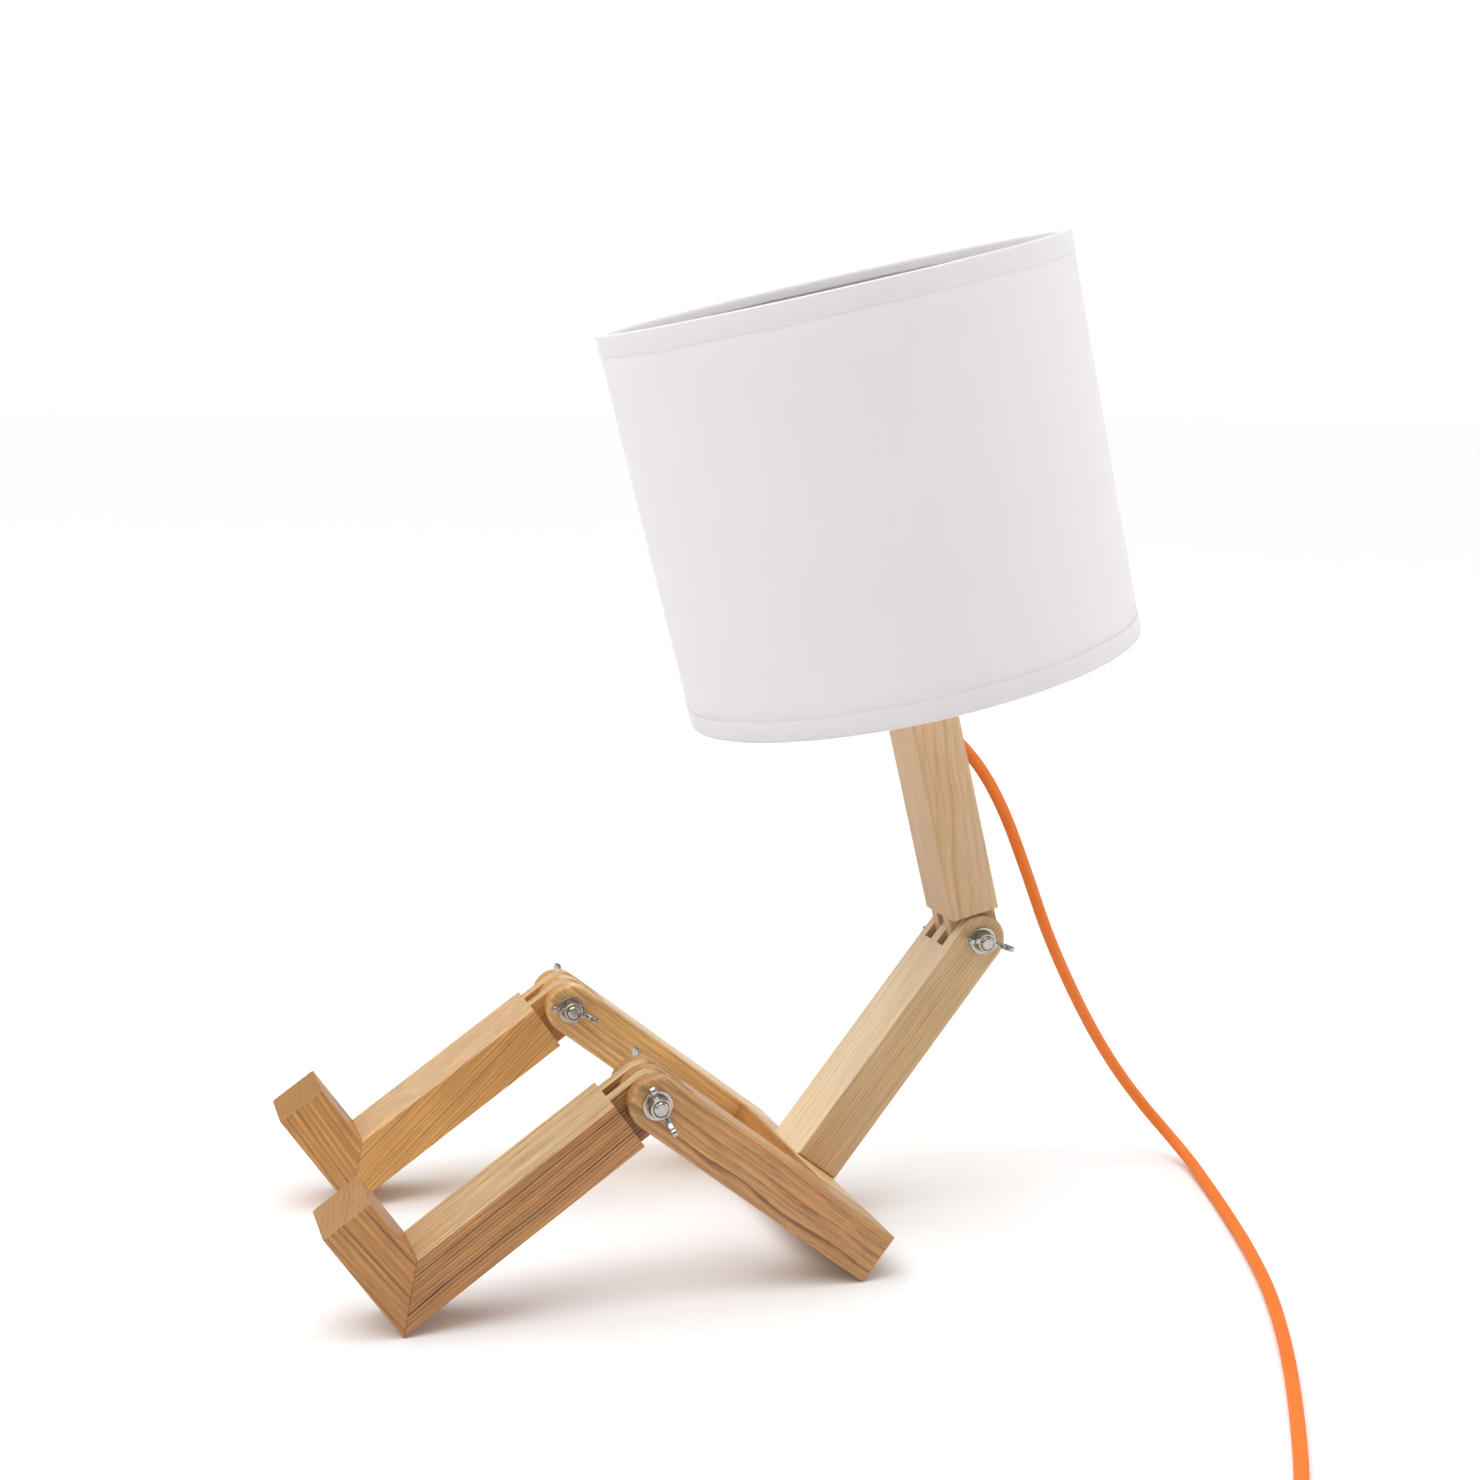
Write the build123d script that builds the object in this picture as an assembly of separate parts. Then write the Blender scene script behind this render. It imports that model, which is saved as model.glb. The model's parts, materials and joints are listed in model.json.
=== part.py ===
from build123d import *
import os
from math import asin, atan2, cos, degrees, hypot, radians, sin, tan

# Seated robot desk lamp of finger-jointed wooden bars with a drum shade on its neck.
# Millimetres. +Z up, -X towards the feet, +X towards the back, Y across the lamp.
# Origin: on the surface it sits on, below the middle of the lamp's bounding box without the cord.

# ---------------------------------------------------------------- driving dimensions: wooden bars
bar_w = 32.0            # width of every bar, across the lamp
bar_t = 22.0            # thickness of every bar, in the plane of its hinge
edge_r = 1.6            # rounding of the long edges
leg_offset = 70.6       # lamp's middle plane to a leg's middle plane
thigh_length = 119.0    # knee pivot to the hip end
thigh_slope = 38.4      # degrees below level, from the knee down to the hip
shin_length = 128.5     # knee pivot to the sole
foot_length = 51.5      # heel edge to toe, measured along the sole
torso_length = 121.6    # top face of the thighs to the neck pivot
hip_depth = 24.0        # hip block, along the thighs
neck_lean = 13.7        # degrees forward of upright
neck_length = 130.0     # neck pivot to the neck's top end

# ---------------------------------------------------------------- finger hinges
finger_count = 5        # fingers across a bar, three on one bar and two on the other
finger_gap = 0.2        # free space at each side of a finger
knee_seat = 13.3        # knee pivot to the bottom of the slots
neck_seat = 12.1        # neck pivot to the bottom of the slots
bolt_r = 3.0
bore_gap = 0.08         # running clearance of a bar on its bolt
washer_r = 6.0
washer_t = 1.2
washer_gap = 0.3
hub_r = 4.7             # wing nut and winged head: hub at the washer
hub_top_r = 4.1
hub_h = 4.6
hub_rim = 1.0           # straight rim at the foot of the hub
nut_gap = 0.06          # running clearance of a wing nut on its bolt
bolt_end = 0.9          # bolt tip beyond the wing nut's hub
bolt_chamfer = 0.7
wing_r = 11.3           # hinge axis to the tip of a wing
wing_h = 9.4            # washer to the top of a wing
wing_t = 2.2
wing_tip_r = 1.7
wing_foot = 0.5         # washer to the lower edge of a wing
wing_root = 1.2         # depth of a wing's root in the hub
nut_angles = {"knee_near": -64.0, "knee_far": -20.0, "neck": -14.0}   # degrees above +X
head_angles = {"knee_near": 75.0, "knee_far": 71.0, "neck": 22.0}

# ---------------------------------------------------------------- glued and screwed joints
dowel_r = 3.0
dowel_length = 30.0
dowel_pitch = 11.0
heel_dowel_r = 2.5
heel_dowel_length = 18.0
heel_dowel_pitch = 16.0
dowel_gap = 0.05
dowel_end_gap = 0.5
screw_r = 2.0
screw_head_r = 4.0
screw_length = 52.0
screw_tip = 4.0
screw_pitch = 16.0
screw_gap = 0.05

# ---------------------------------------------------------------- cord channel and lampholder
cord_r = 2.6
channel_r = 5.05        # bore down the neck, which the nipple screws into
exit_r = 3.4            # slanting bore to the back face
exit_height = 89.0      # neck pivot to the middle of the exit, along the back face
exit_angle = 35.0       # exit bore to the neck's axis
nipple_r = 5.0
nipple_bore_r = 3.6
nipple_depth = 12.0     # nipple below the neck's top end
nipple_rise = 10.0      # and above it
cap_foot_r = 9.5
cap_wall = 2.0
cap_height = 22.0
cap_dome_height = 16.0  # foot to the full diameter
holder_r = 19.5         # threaded skirt of the lampholder
skirt_wall = 1.8
skirt_height = 36.0
lip_r = 14.4            # mouth of the skirt
lip_t = 2.0
shoulder_r = 22.5       # shoulder that carries the shade
shoulder_t = 2.0
insert_t = 8.0
insert_gap = 0.3
ledge = 2.0             # ledge in the cap below the insert
socket_r = 13.3         # inside of the brass thread shell
socket_wall = 0.5
socket_depth = 25.0
shell_gap = 0.05        # thread shell in its wall
collar_wall = 1.6       # wall round the thread shell
collar_drop = 3.0       # rim of that wall below the rim of the shell
insert_rim = 2.0        # upstand round the insert's base
contact_r = 4.5
contact_top_r = 2.4
contact_disc_t = 0.6
contact_height = 1.8
contact_recess = 2.2    # its floor below the foot of the thread shell
contact_recess_r = 6.0
terminal_r = 1.5
terminal_depth = 5.0
terminal_head_r = 2.6
terminal_head_t = 2.0
terminal_pitch = 20.0
wire_r = 0.9
wire_pitch = 2.6        # the two wires where they leave the cord
wire_bend_r = 1.2
wire_straight = 3.0     # wire beyond the cord before it turns
wire_gap = 0.3          # wire's end to the insert
cord_rise = 2.0         # cord's end above the nipple
boss_drop = 1.0         # cap's boss below the nipple's top

# ---------------------------------------------------------------- shade
shade_drop = 120.0      # neck pivot to the bottom of the shade
shade_height = 168.5
shade_r_bottom = 98.0
shade_flare = 2.0       # outside radius at the top beyond that at the bottom
shade_wall = 1.0
ring_wire_r = 1.6
ring_gap = 0.15
hem_t = 0.45
hem_height = 8.5        # outside band
hem_return = 4.6        # band inside, round the wire
arm_count = 3
arm_rise = 26.0         # upright part of a spider arm
arm_wire_r = 1.44
arm_bend_r = 6.0
arm_root = 1.0          # arm's end inside the spider's hub
hub_gap = 0.4
hub_width = 5.5
hub_t = 2.0
nut_ring_r = 24.6
nut_ring_height = 7.0
nut_ring_gap = 0.08
grip_count = 12
grip_r = 1.6
grip_offset = 0.6       # grip's middle beyond the ring's outside

# ---------------------------------------------------------------- in-line switch
switch_length = 62.0
switch_width = 25.0
switch_half = 8.0       # height of each half of the housing
switch_wall = 1.8
switch_corner_r = 10.0
switch_edge_r = 2.0
switch_foot_r = 1.2
rocker_length = 20.0
rocker_width = 11.0
rocker_tilt = 7.0       # rest tilt, one end down
rocker_gap = 0.4
rocker_pin_r = 1.5
rocker_pin_gap = 0.06
rocker_crown = 3.2      # pivot to the rocker's middle
rocker_skirt = 1.2      # pivot to its underside
rocker_drop = 2.2       # top of the housing to the pivot
rocker_pin_length = 1.0 # pivot pin in each cheek
cheek_height = 5.4
cheek_drop = 1.6        # pivot to the middle of the cheeks
switch_screw_r = 1.2
switch_screw_head_r = 2.2
switch_boss_r = 2.7
switch_screw_x = 17.0
switch_screw_y = 7.2
switch_screw_tip = 1.0
cord_grip = 6.0         # cord inside each end of the housing
cord_stub = 14.0        # straight cord outside each end
entry_gap = 0.1
contact_w = 4.0
contact_t = 0.8
contact_start = 3.0
contact_span = 12.0
contact_rise = 5.0

# ---------------------------------------------------------------- two-pin plug
plug_length = 37.0
plug_width = 35.4
plug_height = 14.0
plug_waist = 17.0       # width where the cord enters
plug_shoulder = 15.0    # from there to the full width
plug_corner_r = 3.0
plug_edge_r = 1.5
pin_r = 2.0             # bare tip of a pin
pin_core_r = 1.35
pin_nose_r = 1.4
pin_length = 19.0
pin_root = 8.0
pin_sleeve_r = 1.75     # insulation round the root of a pin
pin_sleeve_length = 10.0
pin_sleeve_root = 3.0
pin_pitch = 18.6
relief_length = 30.0
relief_r = 5.2
relief_end_r = 3.4
rib_count = 3
rib_pitch = 6.0
rib_start = 9.0
rib_w = 1.4
rib_wall = 0.6          # relief left round the cord below a groove

# ---------------------------------------------------------------- coil of spare cord
coil_r = 31.0           # middle of the turns
coil_width = 15.6       # three cords side by side
coil_height = 10.4      # two layers
exit_run = 15.0         # straight cord out of the neck

# ---------------------------------------------------------------- where the cord's fittings lie
switch_middle = (58.0, -360.0)
switch_heading = 235.0          # degrees in plan, the way the cord runs to the plug
coil_middle = (-44.0, -400.2)
plug_entry = (-134.0, -441.0)   # where the cord meets the strain relief
plug_heading = 188.0


def level(angle):
    """Unit vector in the XZ plane, so many degrees above +X."""
    return Vector(cos(radians(angle)), 0, sin(radians(angle)))


# ---------------------------------------------------------------- the pose of the bars
half_t = bar_t / 2
thigh_dir, thigh_up = level(-thigh_slope), level(90 - thigh_slope)
knee_z = thigh_length * sin(radians(thigh_slope)) + half_t * cos(radians(thigh_slope))
shin_reach = hypot(shin_length, half_t)
shin_slope = degrees(asin(knee_z / shin_reach) - atan2(half_t, shin_length))
shin_dir, shin_up = level(180 + shin_slope), level(90 + shin_slope)
neck_dir, neck_back = level(90 + neck_lean), level(neck_lean)

hip_from_knee = thigh_dir * (thigh_length - half_t) + thigh_up * half_t
neck_from_knee = hip_from_knee + thigh_up * torso_length
toe_from_knee = shin_dir * shin_length + shin_up * (foot_length - half_t)
rim_from_knee = neck_from_knee + neck_dir * shade_drop + neck_back * (shade_r_bottom + hem_t)
knee = Vector(-(toe_from_knee.X + rim_from_knee.X) / 2, 0, knee_z)
neck_pivot = knee + neck_from_knee
legs = {"near": -leg_offset, "far": leg_offset}

torso_plane = Plane(origin=neck_pivot, x_dir=-thigh_up, z_dir=-thigh_dir)
neck_plane = Plane(origin=neck_pivot, x_dir=neck_dir, z_dir=neck_back)
shade_plane = Plane(origin=neck_pivot, x_dir=neck_back, z_dir=neck_dir)


def thigh_plane(y):
    return Plane(origin=knee + Vector(0, y, 0), x_dir=thigh_dir, z_dir=thigh_up)


def shin_plane(y):
    return Plane(origin=knee + Vector(0, y, 0), x_dir=shin_dir, z_dir=shin_up)


# ---------------------------------------------------------------- small helpers
def cross_rod(r, length, x=0, y=0, z=0):
    """Round rod across the lamp, along Y."""
    return Pos(x, y, z) * Rot(90, 0, 0) * Cylinder(r, length)


def turned(*points):
    """Solid of revolution about Z, from a closed half section of (r, z) points."""
    outline = Polyline(*[(r, 0, z) for r, z in points], close=True)
    return revolve(make_face(outline), Axis.Z)


def side_prism(width, *points):
    """Prism across the lamp, centred on Y = 0, from a closed outline of (x, z) points."""
    outline = Polyline(*[(x, 0, z) for x, z in points], close=True)
    return extrude(make_face(outline), width / 2, both=True)


def countersunk_screw(length, r, head_r, tip):
    """Screw along +Z from its head's face at Z = 0."""
    return turned((0, 0), (head_r, 0), (r, head_r - r), (r, length - tip), (0, length))


# ---------------------------------------------------------------- finger-jointed bars
finger_w = bar_w / finger_count
finger_y = (-finger_w, finger_w)     # middles of the two fingers


def nosed_prism(length, width, y=0):
    """Bar with a round nose about the pivot, from the pivot to a square end."""
    outline = [Line((0, 0, half_t), (length, 0, half_t)),
               Line((length, 0, half_t), (length, 0, -half_t)),
               Line((length, 0, -half_t), (0, 0, -half_t)),
               ThreePointArc((0, 0, -half_t), (-half_t, 0, 0), (0, 0, half_t))]
    return Pos(0, y, 0) * extrude(make_face(outline), width / 2, both=True)


def three_finger_bar(length, seat):
    """Bar whose nose is split into three fingers by two slots."""
    bar = nosed_prism(length, bar_w)
    bar = fillet(bar.faces().filter_by(Axis.Y).edges(), edge_r)
    slot_length = seat + bar_t
    for y in finger_y:
        bar -= Pos(seat - slot_length / 2, y, 0) * Box(slot_length, finger_w, 2 * bar_t)
    return bar - cross_rod(bolt_r + bore_gap, 2 * bar_w)


def plain_bar(start, end):
    """Square-ended bar along X with rounded long edges."""
    bar = Pos((start + end) / 2, 0, 0) * Box(end - start, bar_w, bar_t)
    return fillet(bar.edges().filter_by(Axis.X), edge_r)


def with_two_fingers(bar, seat):
    """Adds the two fingers in front of a bar's shoulders, and the hinge bore."""
    for y in finger_y:
        bar += nosed_prism(seat + edge_r, finger_w - 2 * finger_gap, y)
    slot = Pos(seat / 2, 0, 0) * Box(seat, finger_w + 2 * finger_gap, 2 * bar_t)
    return bar - slot - cross_rod(bolt_r + bore_gap, 2 * bar_w)


def heel_dowels(gap=0.0, end_gap=0.0):
    """Two dowels square to the mitre, in a shin's frame, or the holes round them."""
    middle = Location((shin_length - half_t, 0, 0), (0, 45, 0))
    rods = [middle * Pos(0, y, 0) * Cylinder(heel_dowel_r + gap, heel_dowel_length + 2 * end_gap)
            for y in (-heel_dowel_pitch / 2, heel_dowel_pitch / 2)]
    return Compound(children=rods)


def shin():
    """Lower leg, from its fingers to the mitre at the heel."""
    bar = plain_bar(knee_seat, shin_length)
    bar &= side_prism(2 * bar_w, (knee_seat, -half_t), (shin_length, -half_t),
                      (shin_length - bar_t, half_t), (knee_seat, half_t))
    return with_two_fingers(bar, knee_seat) - heel_dowels(dowel_gap, dowel_end_gap)


def foot():
    """Foot, from the mitre at the heel to the toe."""
    top = foot_length - half_t
    bar = Pos(shin_length - half_t, 0, (top - half_t) / 2) * Box(bar_t, bar_w, foot_length)
    bar = fillet(bar.edges().filter_by(Axis.Z), edge_r)
    bar &= side_prism(2 * bar_w, (shin_length, -half_t), (shin_length, top),
                      (shin_length - bar_t, top), (shin_length - bar_t, half_t))
    return bar - heel_dowels(dowel_gap, dowel_end_gap)


# ---------------------------------------------------------------- hip block, dowels and screws
block_length = 2 * leg_offset - bar_w
block_x = thigh_length - hip_depth / 2
dowel_places = [(block_x + dx, side * block_length / 2)
                for side in (-1, 1) for dx in (-dowel_pitch / 2, dowel_pitch / 2)]
screw_places = [(thigh_length - half_t, y) for y in (-screw_pitch / 2, screw_pitch / 2)]
hip_plane = thigh_plane(0)


def hip_dowels(gap=0.0, end_gap=0.0):
    rods = [cross_rod(dowel_r + gap, dowel_length + 2 * end_gap, x, y) for x, y in dowel_places]
    return Compound(children=rods)


def torso_screws(gap=0.0):
    screws = [Pos(x, y, -half_t) * countersunk_screw(screw_length, screw_r + gap,
                                                     screw_head_r + gap, screw_tip)
              for x, y in screw_places]
    return Compound(children=screws)


def hip_block():
    block = Pos(block_x, 0, 0) * Box(hip_depth, block_length, bar_t)
    block = fillet(block.edges().filter_by(Axis.Y), edge_r)
    return block - hip_dowels(dowel_gap, dowel_end_gap) - torso_screws(screw_gap)


# ---------------------------------------------------------------- hinge hardware
def wing(side):
    """One wing in the XZ plane of a nut whose base is at Z = 0."""
    root = hub_top_r - wing_root
    tip = Vector(wing_r - wing_tip_r, 0, wing_h - wing_tip_r)
    outer, inner = Vector(wing_r, 0, tip.Z), Vector(wing_r - 2 * wing_tip_r, 0, tip.Z)
    foot, throat = Vector(hub_r + wing_foot, 0, wing_foot), Vector(root, 0, hub_h)
    belly = Vector(wing_r - wing_root, 0, wing_h * 0.42)
    hollow = Vector(hub_r + wing_tip_r, 0, hub_h + wing_root)
    outline = [Line((root, 0, wing_foot), foot),
               ThreePointArc(foot, belly, outer),
               ThreePointArc(outer, (tip.X, 0, wing_h), inner),
               ThreePointArc(inner, hollow, throat),
               Line(throat, (root, 0, wing_foot))]
    blade = extrude(make_face(outline), wing_t / 2, both=True)
    return blade if side > 0 else Rot(0, 0, 180) * blade


def winged_hub():
    hub = turned((0, 0), (hub_r, 0), (hub_r, hub_rim), (hub_top_r, hub_h), (0, hub_h))
    return hub + wing(1) + wing(-1)


def wing_nut():
    return winged_hub() - Cylinder(bolt_r + nut_gap, 4 * hub_h)


def hinge_washer():
    disc = Cylinder(washer_r, washer_t, align=(Align.CENTER, Align.CENTER, Align.MIN))
    return disc - Cylinder(bolt_r + washer_gap, 4 * washer_t)


def hinge_set(name, pivot):
    """Winged bolt from the far side, a washer each side and the wing nut on the near side."""
    near = Plane(origin=pivot - Vector(0, bar_w / 2, 0), x_dir=level(nut_angles[name]), z_dir=(0, -1, 0))
    far = Plane(origin=pivot + Vector(0, bar_w / 2, 0), x_dir=level(head_angles[name]), z_dir=(0, 1, 0))
    shank_length = bar_w + 2 * washer_t + hub_h + bolt_end
    shank = chamfer(Cylinder(bolt_r, shank_length, align=(Align.CENTER, Align.CENTER, Align.MAX))
                    .edges().sort_by(Axis.Z)[0], bolt_chamfer)
    bolt = Pos(0, 0, washer_t) * (winged_hub() + shank)
    return {f"{name}_bolt": far * bolt,
            f"{name}_washers": Compound(children=[near * hinge_washer(), far * hinge_washer()]),
            f"{name}_wing_nut": near * Pos(0, 0, washer_t) * wing_nut()}


# ---------------------------------------------------------------- neck with its cord channel
exit_drop = half_t / tan(radians(exit_angle))
bend_height = exit_height + exit_drop
exit_local = Vector(sin(radians(exit_angle)), 0, -cos(radians(exit_angle)))   # in the shade frame
cord_mouth = shade_plane.from_local_coords(Vector(half_t, 0, exit_height))
cord_out = shade_plane.from_local_coords(Vector(half_t, 0, exit_height) + exit_local) - cord_mouth


def exit_bore(r, length):
    """Slanting bore from the channel's axis, in the shade frame."""
    bore = Cylinder(r, length, align=(Align.CENTER, Align.CENTER, Align.MIN))
    return Pos(0, 0, bend_height) * Rot(0, 180 - exit_angle, 0) * bore


def neck():
    bar = neck_plane * with_two_fingers(plain_bar(neck_seat, neck_length), neck_seat)
    channel = Pos(0, 0, (bend_height + neck_length) / 2) * Cylinder(channel_r, neck_length - bend_height)
    rounded_foot = Pos(0, 0, bend_height) * Sphere(channel_r)
    return bar - shade_plane * (channel + rounded_foot + exit_bore(exit_r, bar_w))


# ---------------------------------------------------------------- lampholder
cap_top = neck_length + cap_height
skirt_top = cap_top + skirt_height
insert_bottom = cap_top - ledge
insert_r = holder_r - skirt_wall - insert_gap
insert_top = insert_bottom + insert_t
shell_foot = insert_top + contact_recess
socket_top = shell_foot + socket_depth
wire_start = neck_length + nipple_rise + cord_rise


def nipple():
    bottom, top = neck_length - nipple_depth, neck_length + nipple_rise
    return turned((nipple_bore_r, bottom), (nipple_r, bottom), (nipple_r, top), (nipple_bore_r, top))


def holder_cap():
    foot_z, dome_z = neck_length, neck_length + cap_dome_height
    boss_r, boss_z = nipple_r + cap_wall, neck_length + nipple_rise - boss_drop
    inside_r = holder_r - cap_wall
    return turned((channel_r, foot_z), (cap_foot_r, foot_z), (cap_foot_r, foot_z + cap_wall),
                  (holder_r, dome_z), (holder_r, cap_top), (inside_r, cap_top),
                  (inside_r, insert_bottom), (inside_r - ledge, insert_bottom),
                  (inside_r - ledge, dome_z), (boss_r + cap_wall, foot_z + 2 * cap_wall),
                  (boss_r, foot_z + 2 * cap_wall), (boss_r, boss_z), (channel_r, boss_z))


def holder_skirt():
    inside_r = holder_r - skirt_wall
    return turned((inside_r, cap_top), (shoulder_r, cap_top), (shoulder_r, cap_top + shoulder_t),
                  (holder_r, cap_top + shoulder_t), (holder_r, skirt_top), (lip_r, skirt_top),
                  (lip_r, skirt_top - lip_t), (inside_r, skirt_top - lip_t))


def holder_insert():
    bore_r = socket_r + socket_wall + shell_gap
    collar_r, collar_top, rim_top = bore_r + collar_wall, socket_top - collar_drop, insert_top + insert_rim
    body = turned((0, insert_bottom), (insert_r, insert_bottom), (insert_r, rim_top), (collar_r, rim_top),
                  (collar_r, collar_top), (bore_r, collar_top), (bore_r, shell_foot),
                  (contact_recess_r, shell_foot), (contact_recess_r, insert_top), (0, insert_top))
    for x in (-terminal_pitch / 2, terminal_pitch / 2):
        body -= Pos(x, 0, insert_bottom) * Cylinder(terminal_r + shell_gap, 2 * (terminal_depth + shell_gap))
    return body


def socket_shell():
    return turned((socket_r, shell_foot), (socket_r + socket_wall, shell_foot),
                  (socket_r + socket_wall, socket_top), (socket_r, socket_top))


def centre_contact():
    """Spring tongue that meets the tip of the bulb."""
    return turned((0, insert_top), (contact_r, insert_top), (contact_r, insert_top + contact_disc_t),
                  (contact_top_r, insert_top + contact_height), (0, insert_top + contact_height))


def holder_terminals():
    """Two screws in the underside of the insert that clamp the wires."""
    screws = []
    for x in (-terminal_pitch / 2, terminal_pitch / 2):
        foot, seat, end = insert_bottom - terminal_head_t, insert_bottom, insert_bottom + terminal_depth
        head = turned((0, foot), (terminal_head_r, foot), (terminal_head_r, seat), (terminal_r, seat),
                      (terminal_r, end), (0, end))
        screws.append(Pos(x, 0, 0) * head)
    return Compound(children=screws)


def holder_wires():
    """Two insulated wires from the end of the cord to the terminals."""
    wires = []
    for side in (-1, 1):
        start_x, turn_z = side * wire_pitch / 2, wire_start + wire_straight
        end_x = side * (terminal_pitch / 2 - terminal_head_r - wire_r - shell_gap)
        path = FilletPolyline((start_x, 0, wire_start), (start_x, 0, turn_z),
                              (end_x, 0, insert_bottom - wire_gap - wire_straight),
                              (end_x, 0, insert_bottom - wire_gap), radius=wire_bend_r)
        wires.append(sweep(Plane(origin=path @ 0, z_dir=path % 0) * Circle(wire_r), path))
    return Compound(children=wires)


# ---------------------------------------------------------------- shade
shade_top = shade_drop + shade_height
shade_r_top = shade_r_bottom + shade_flare
side_slope = shade_flare / shade_height
ring_r_bottom = shade_r_bottom - shade_wall - ring_gap - ring_wire_r
ring_r_top = shade_r_top - shade_wall - ring_gap - ring_wire_r
hub_z = cap_top + shoulder_t
hub_in_r = holder_r + hub_gap
ring_z = shade_drop + ring_wire_r + ring_gap


def shade_skin():
    return turned((shade_r_bottom - shade_wall, shade_drop), (shade_r_bottom, shade_drop),
                  (shade_r_top, shade_top), (shade_r_top - shade_wall, shade_top))


def shade_hem(edge_z, up, outer_r):
    """Tape round an edge of the shade and its wire; up is +1 at the bottom edge, -1 at the top."""
    out, back = outer_r + up * side_slope * hem_height, outer_r - shade_wall - 2 * (ring_gap + ring_wire_r)
    z = edge_z
    return turned((outer_r, z), (outer_r - shade_wall, z), (back, z), (back, z + up * hem_return),
                  (back - hem_t, z + up * hem_return), (back - hem_t, z - up * hem_t),
                  (outer_r + hem_t, z - up * hem_t), (out + hem_t, z + up * hem_height),
                  (out, z + up * hem_height))


def wire_ring(r, z):
    return Pos(0, 0, z) * Torus(r, ring_wire_r)


def shade_spider():
    """Bottom wire ring, three cranked arms and the ring that sits on the lampholder."""
    hub_out_r = hub_in_r + hub_width
    spider = turned((hub_in_r, hub_z), (hub_out_r, hub_z), (hub_out_r, hub_z + hub_t),
                    (hub_in_r, hub_z + hub_t))
    spider += wire_ring(ring_r_bottom, ring_z)
    arm_z = hub_z + hub_t / 2
    path = FilletPolyline((ring_r_bottom, 0, ring_z), (ring_r_bottom, 0, ring_z + arm_rise),
                          (hub_out_r - arm_root, 0, arm_z), radius=arm_bend_r)
    arm = sweep(Plane(origin=path @ 0, z_dir=path % 0) * Circle(arm_wire_r), path)
    for i in range(arm_count):
        spider += Rot(0, 0, 360 / arm_count * (i + 0.5)) * arm
    return spider


def retaining_ring():
    """Threaded ring that clamps the spider to the lampholder, with finger grips."""
    z0, z1 = hub_z + hub_t, hub_z + hub_t + nut_ring_height
    inner = holder_r + nut_ring_gap
    ring = turned((inner, z0), (nut_ring_r, z0), (nut_ring_r, z1), (inner, z1))
    for i in range(grip_count):
        ring -= Rot(0, 0, 360 / grip_count * i) * Pos(nut_ring_r + grip_offset, 0, (z0 + z1) / 2) \
            * Cylinder(grip_r, 2 * nut_ring_height)
    return ring


# ---------------------------------------------------------------- cord on its way to the plug
def route(points):
    """Straight runs joined by arcs, each as large as its two runs allow."""
    points = [Vector(p) for p in points]
    radii = []
    for before, here, after in zip(points, points[1:], points[2:]):
        first, second = here - before, after - here
        half_turn = radians(first.get_angle(second)) / 2
        radii.append(0.45 * min(first.length, second.length) / tan(half_turn))
    return FilletPolyline(*points, radius=radii), radii


def cord_tube(name, points):
    path, radii = route(points)
    print(name, "length", round(path.length, 1), "radii", [round(r) for r in radii])
    return sweep(Plane(origin=path @ 0, z_dir=path % 0) * Circle(cord_r), path)


switch_top = 2 * switch_half
switch_plane = Plane(origin=(*switch_middle, 0), x_dir=(cos(radians(switch_heading)),
                                                        sin(radians(switch_heading)), 0))
plug_plane = Plane(origin=(*plug_entry, plug_height / 2),
                   x_dir=(cos(radians(plug_heading)), sin(radians(plug_heading)), 0))


def on_switch(x):
    """Point on the cord's axis through the switch."""
    return switch_plane.from_local_coords(Vector(x, 0, switch_half))


grip_x = switch_length / 2 - cord_grip
outer_turn_y = coil_middle[1] - coil_r - coil_width / 2 + cord_r     # lower layer, outermost turn
upper_turn_y = outer_turn_y + cord_r                                 # upper layer, half a cord further in
drop_points = [cord_mouth, cord_mouth + cord_out * exit_run,
               (129.7, 1, 176), (143.7, 4, 145), (157.7, 8, 112), (179.3, 15, 74), (199.1, 21.5, 45.5),
               (215.1, 22, 25), (225.1, 13, 11.5), (227.1, -4, 4.6), (222.7, -25, cord_r),
               (212.1, -62, cord_r), (205.2, -84, cord_r)]
floor_points = [(205.2, -84, cord_r), (198.3, -106, cord_r), (181.3, -152, cord_r), (156.1, -205, cord_r),
                (128.3, -256, cord_r), (103.5, -298, cord_r), on_switch(-switch_length / 2 - cord_stub),
                on_switch(-grip_x)]
loop_points = [on_switch(grip_x), on_switch(switch_length / 2 + cord_stub), (9, -419, 3.6),
               (-12, -433, cord_r), (coil_middle[0], outer_turn_y, cord_r)]
tail_points = [(coil_middle[0], upper_turn_y, coil_height - cord_r), (-66, upper_turn_y - 1, 6.6),
               (-94, -436, 3.6), plug_plane.from_local_coords(Vector(-cord_stub, 0, 0)),
               plug_plane.from_local_coords(Vector(0, 0, 0))]


def cord_in_neck():
    path, _ = route([(0, 0, wire_start), (0, 0, bend_height), (half_t, 0, exit_height)])
    cord = sweep(Plane(origin=path @ 0, z_dir=path % 0) * Circle(cord_r), path)
    return shade_plane * cord


def cord_coil():
    """Outer shape of the coiled spare cord, lying on the floor."""
    flat = (coil_width - coil_height) / 2
    section = Pos(coil_r, 0, coil_height / 2) * Rot(90, 0, 0) * SlotCenterToCenter(2 * flat, coil_height)
    return Pos(*coil_middle, 0) * revolve(section, Axis.Z)


# ---------------------------------------------------------------- in-line switch, along X, on the floor
rocker_z = switch_top - rocker_drop
screw_spots = [(switch_screw_x, switch_screw_y), (-switch_screw_x, -switch_screw_y)]


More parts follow.
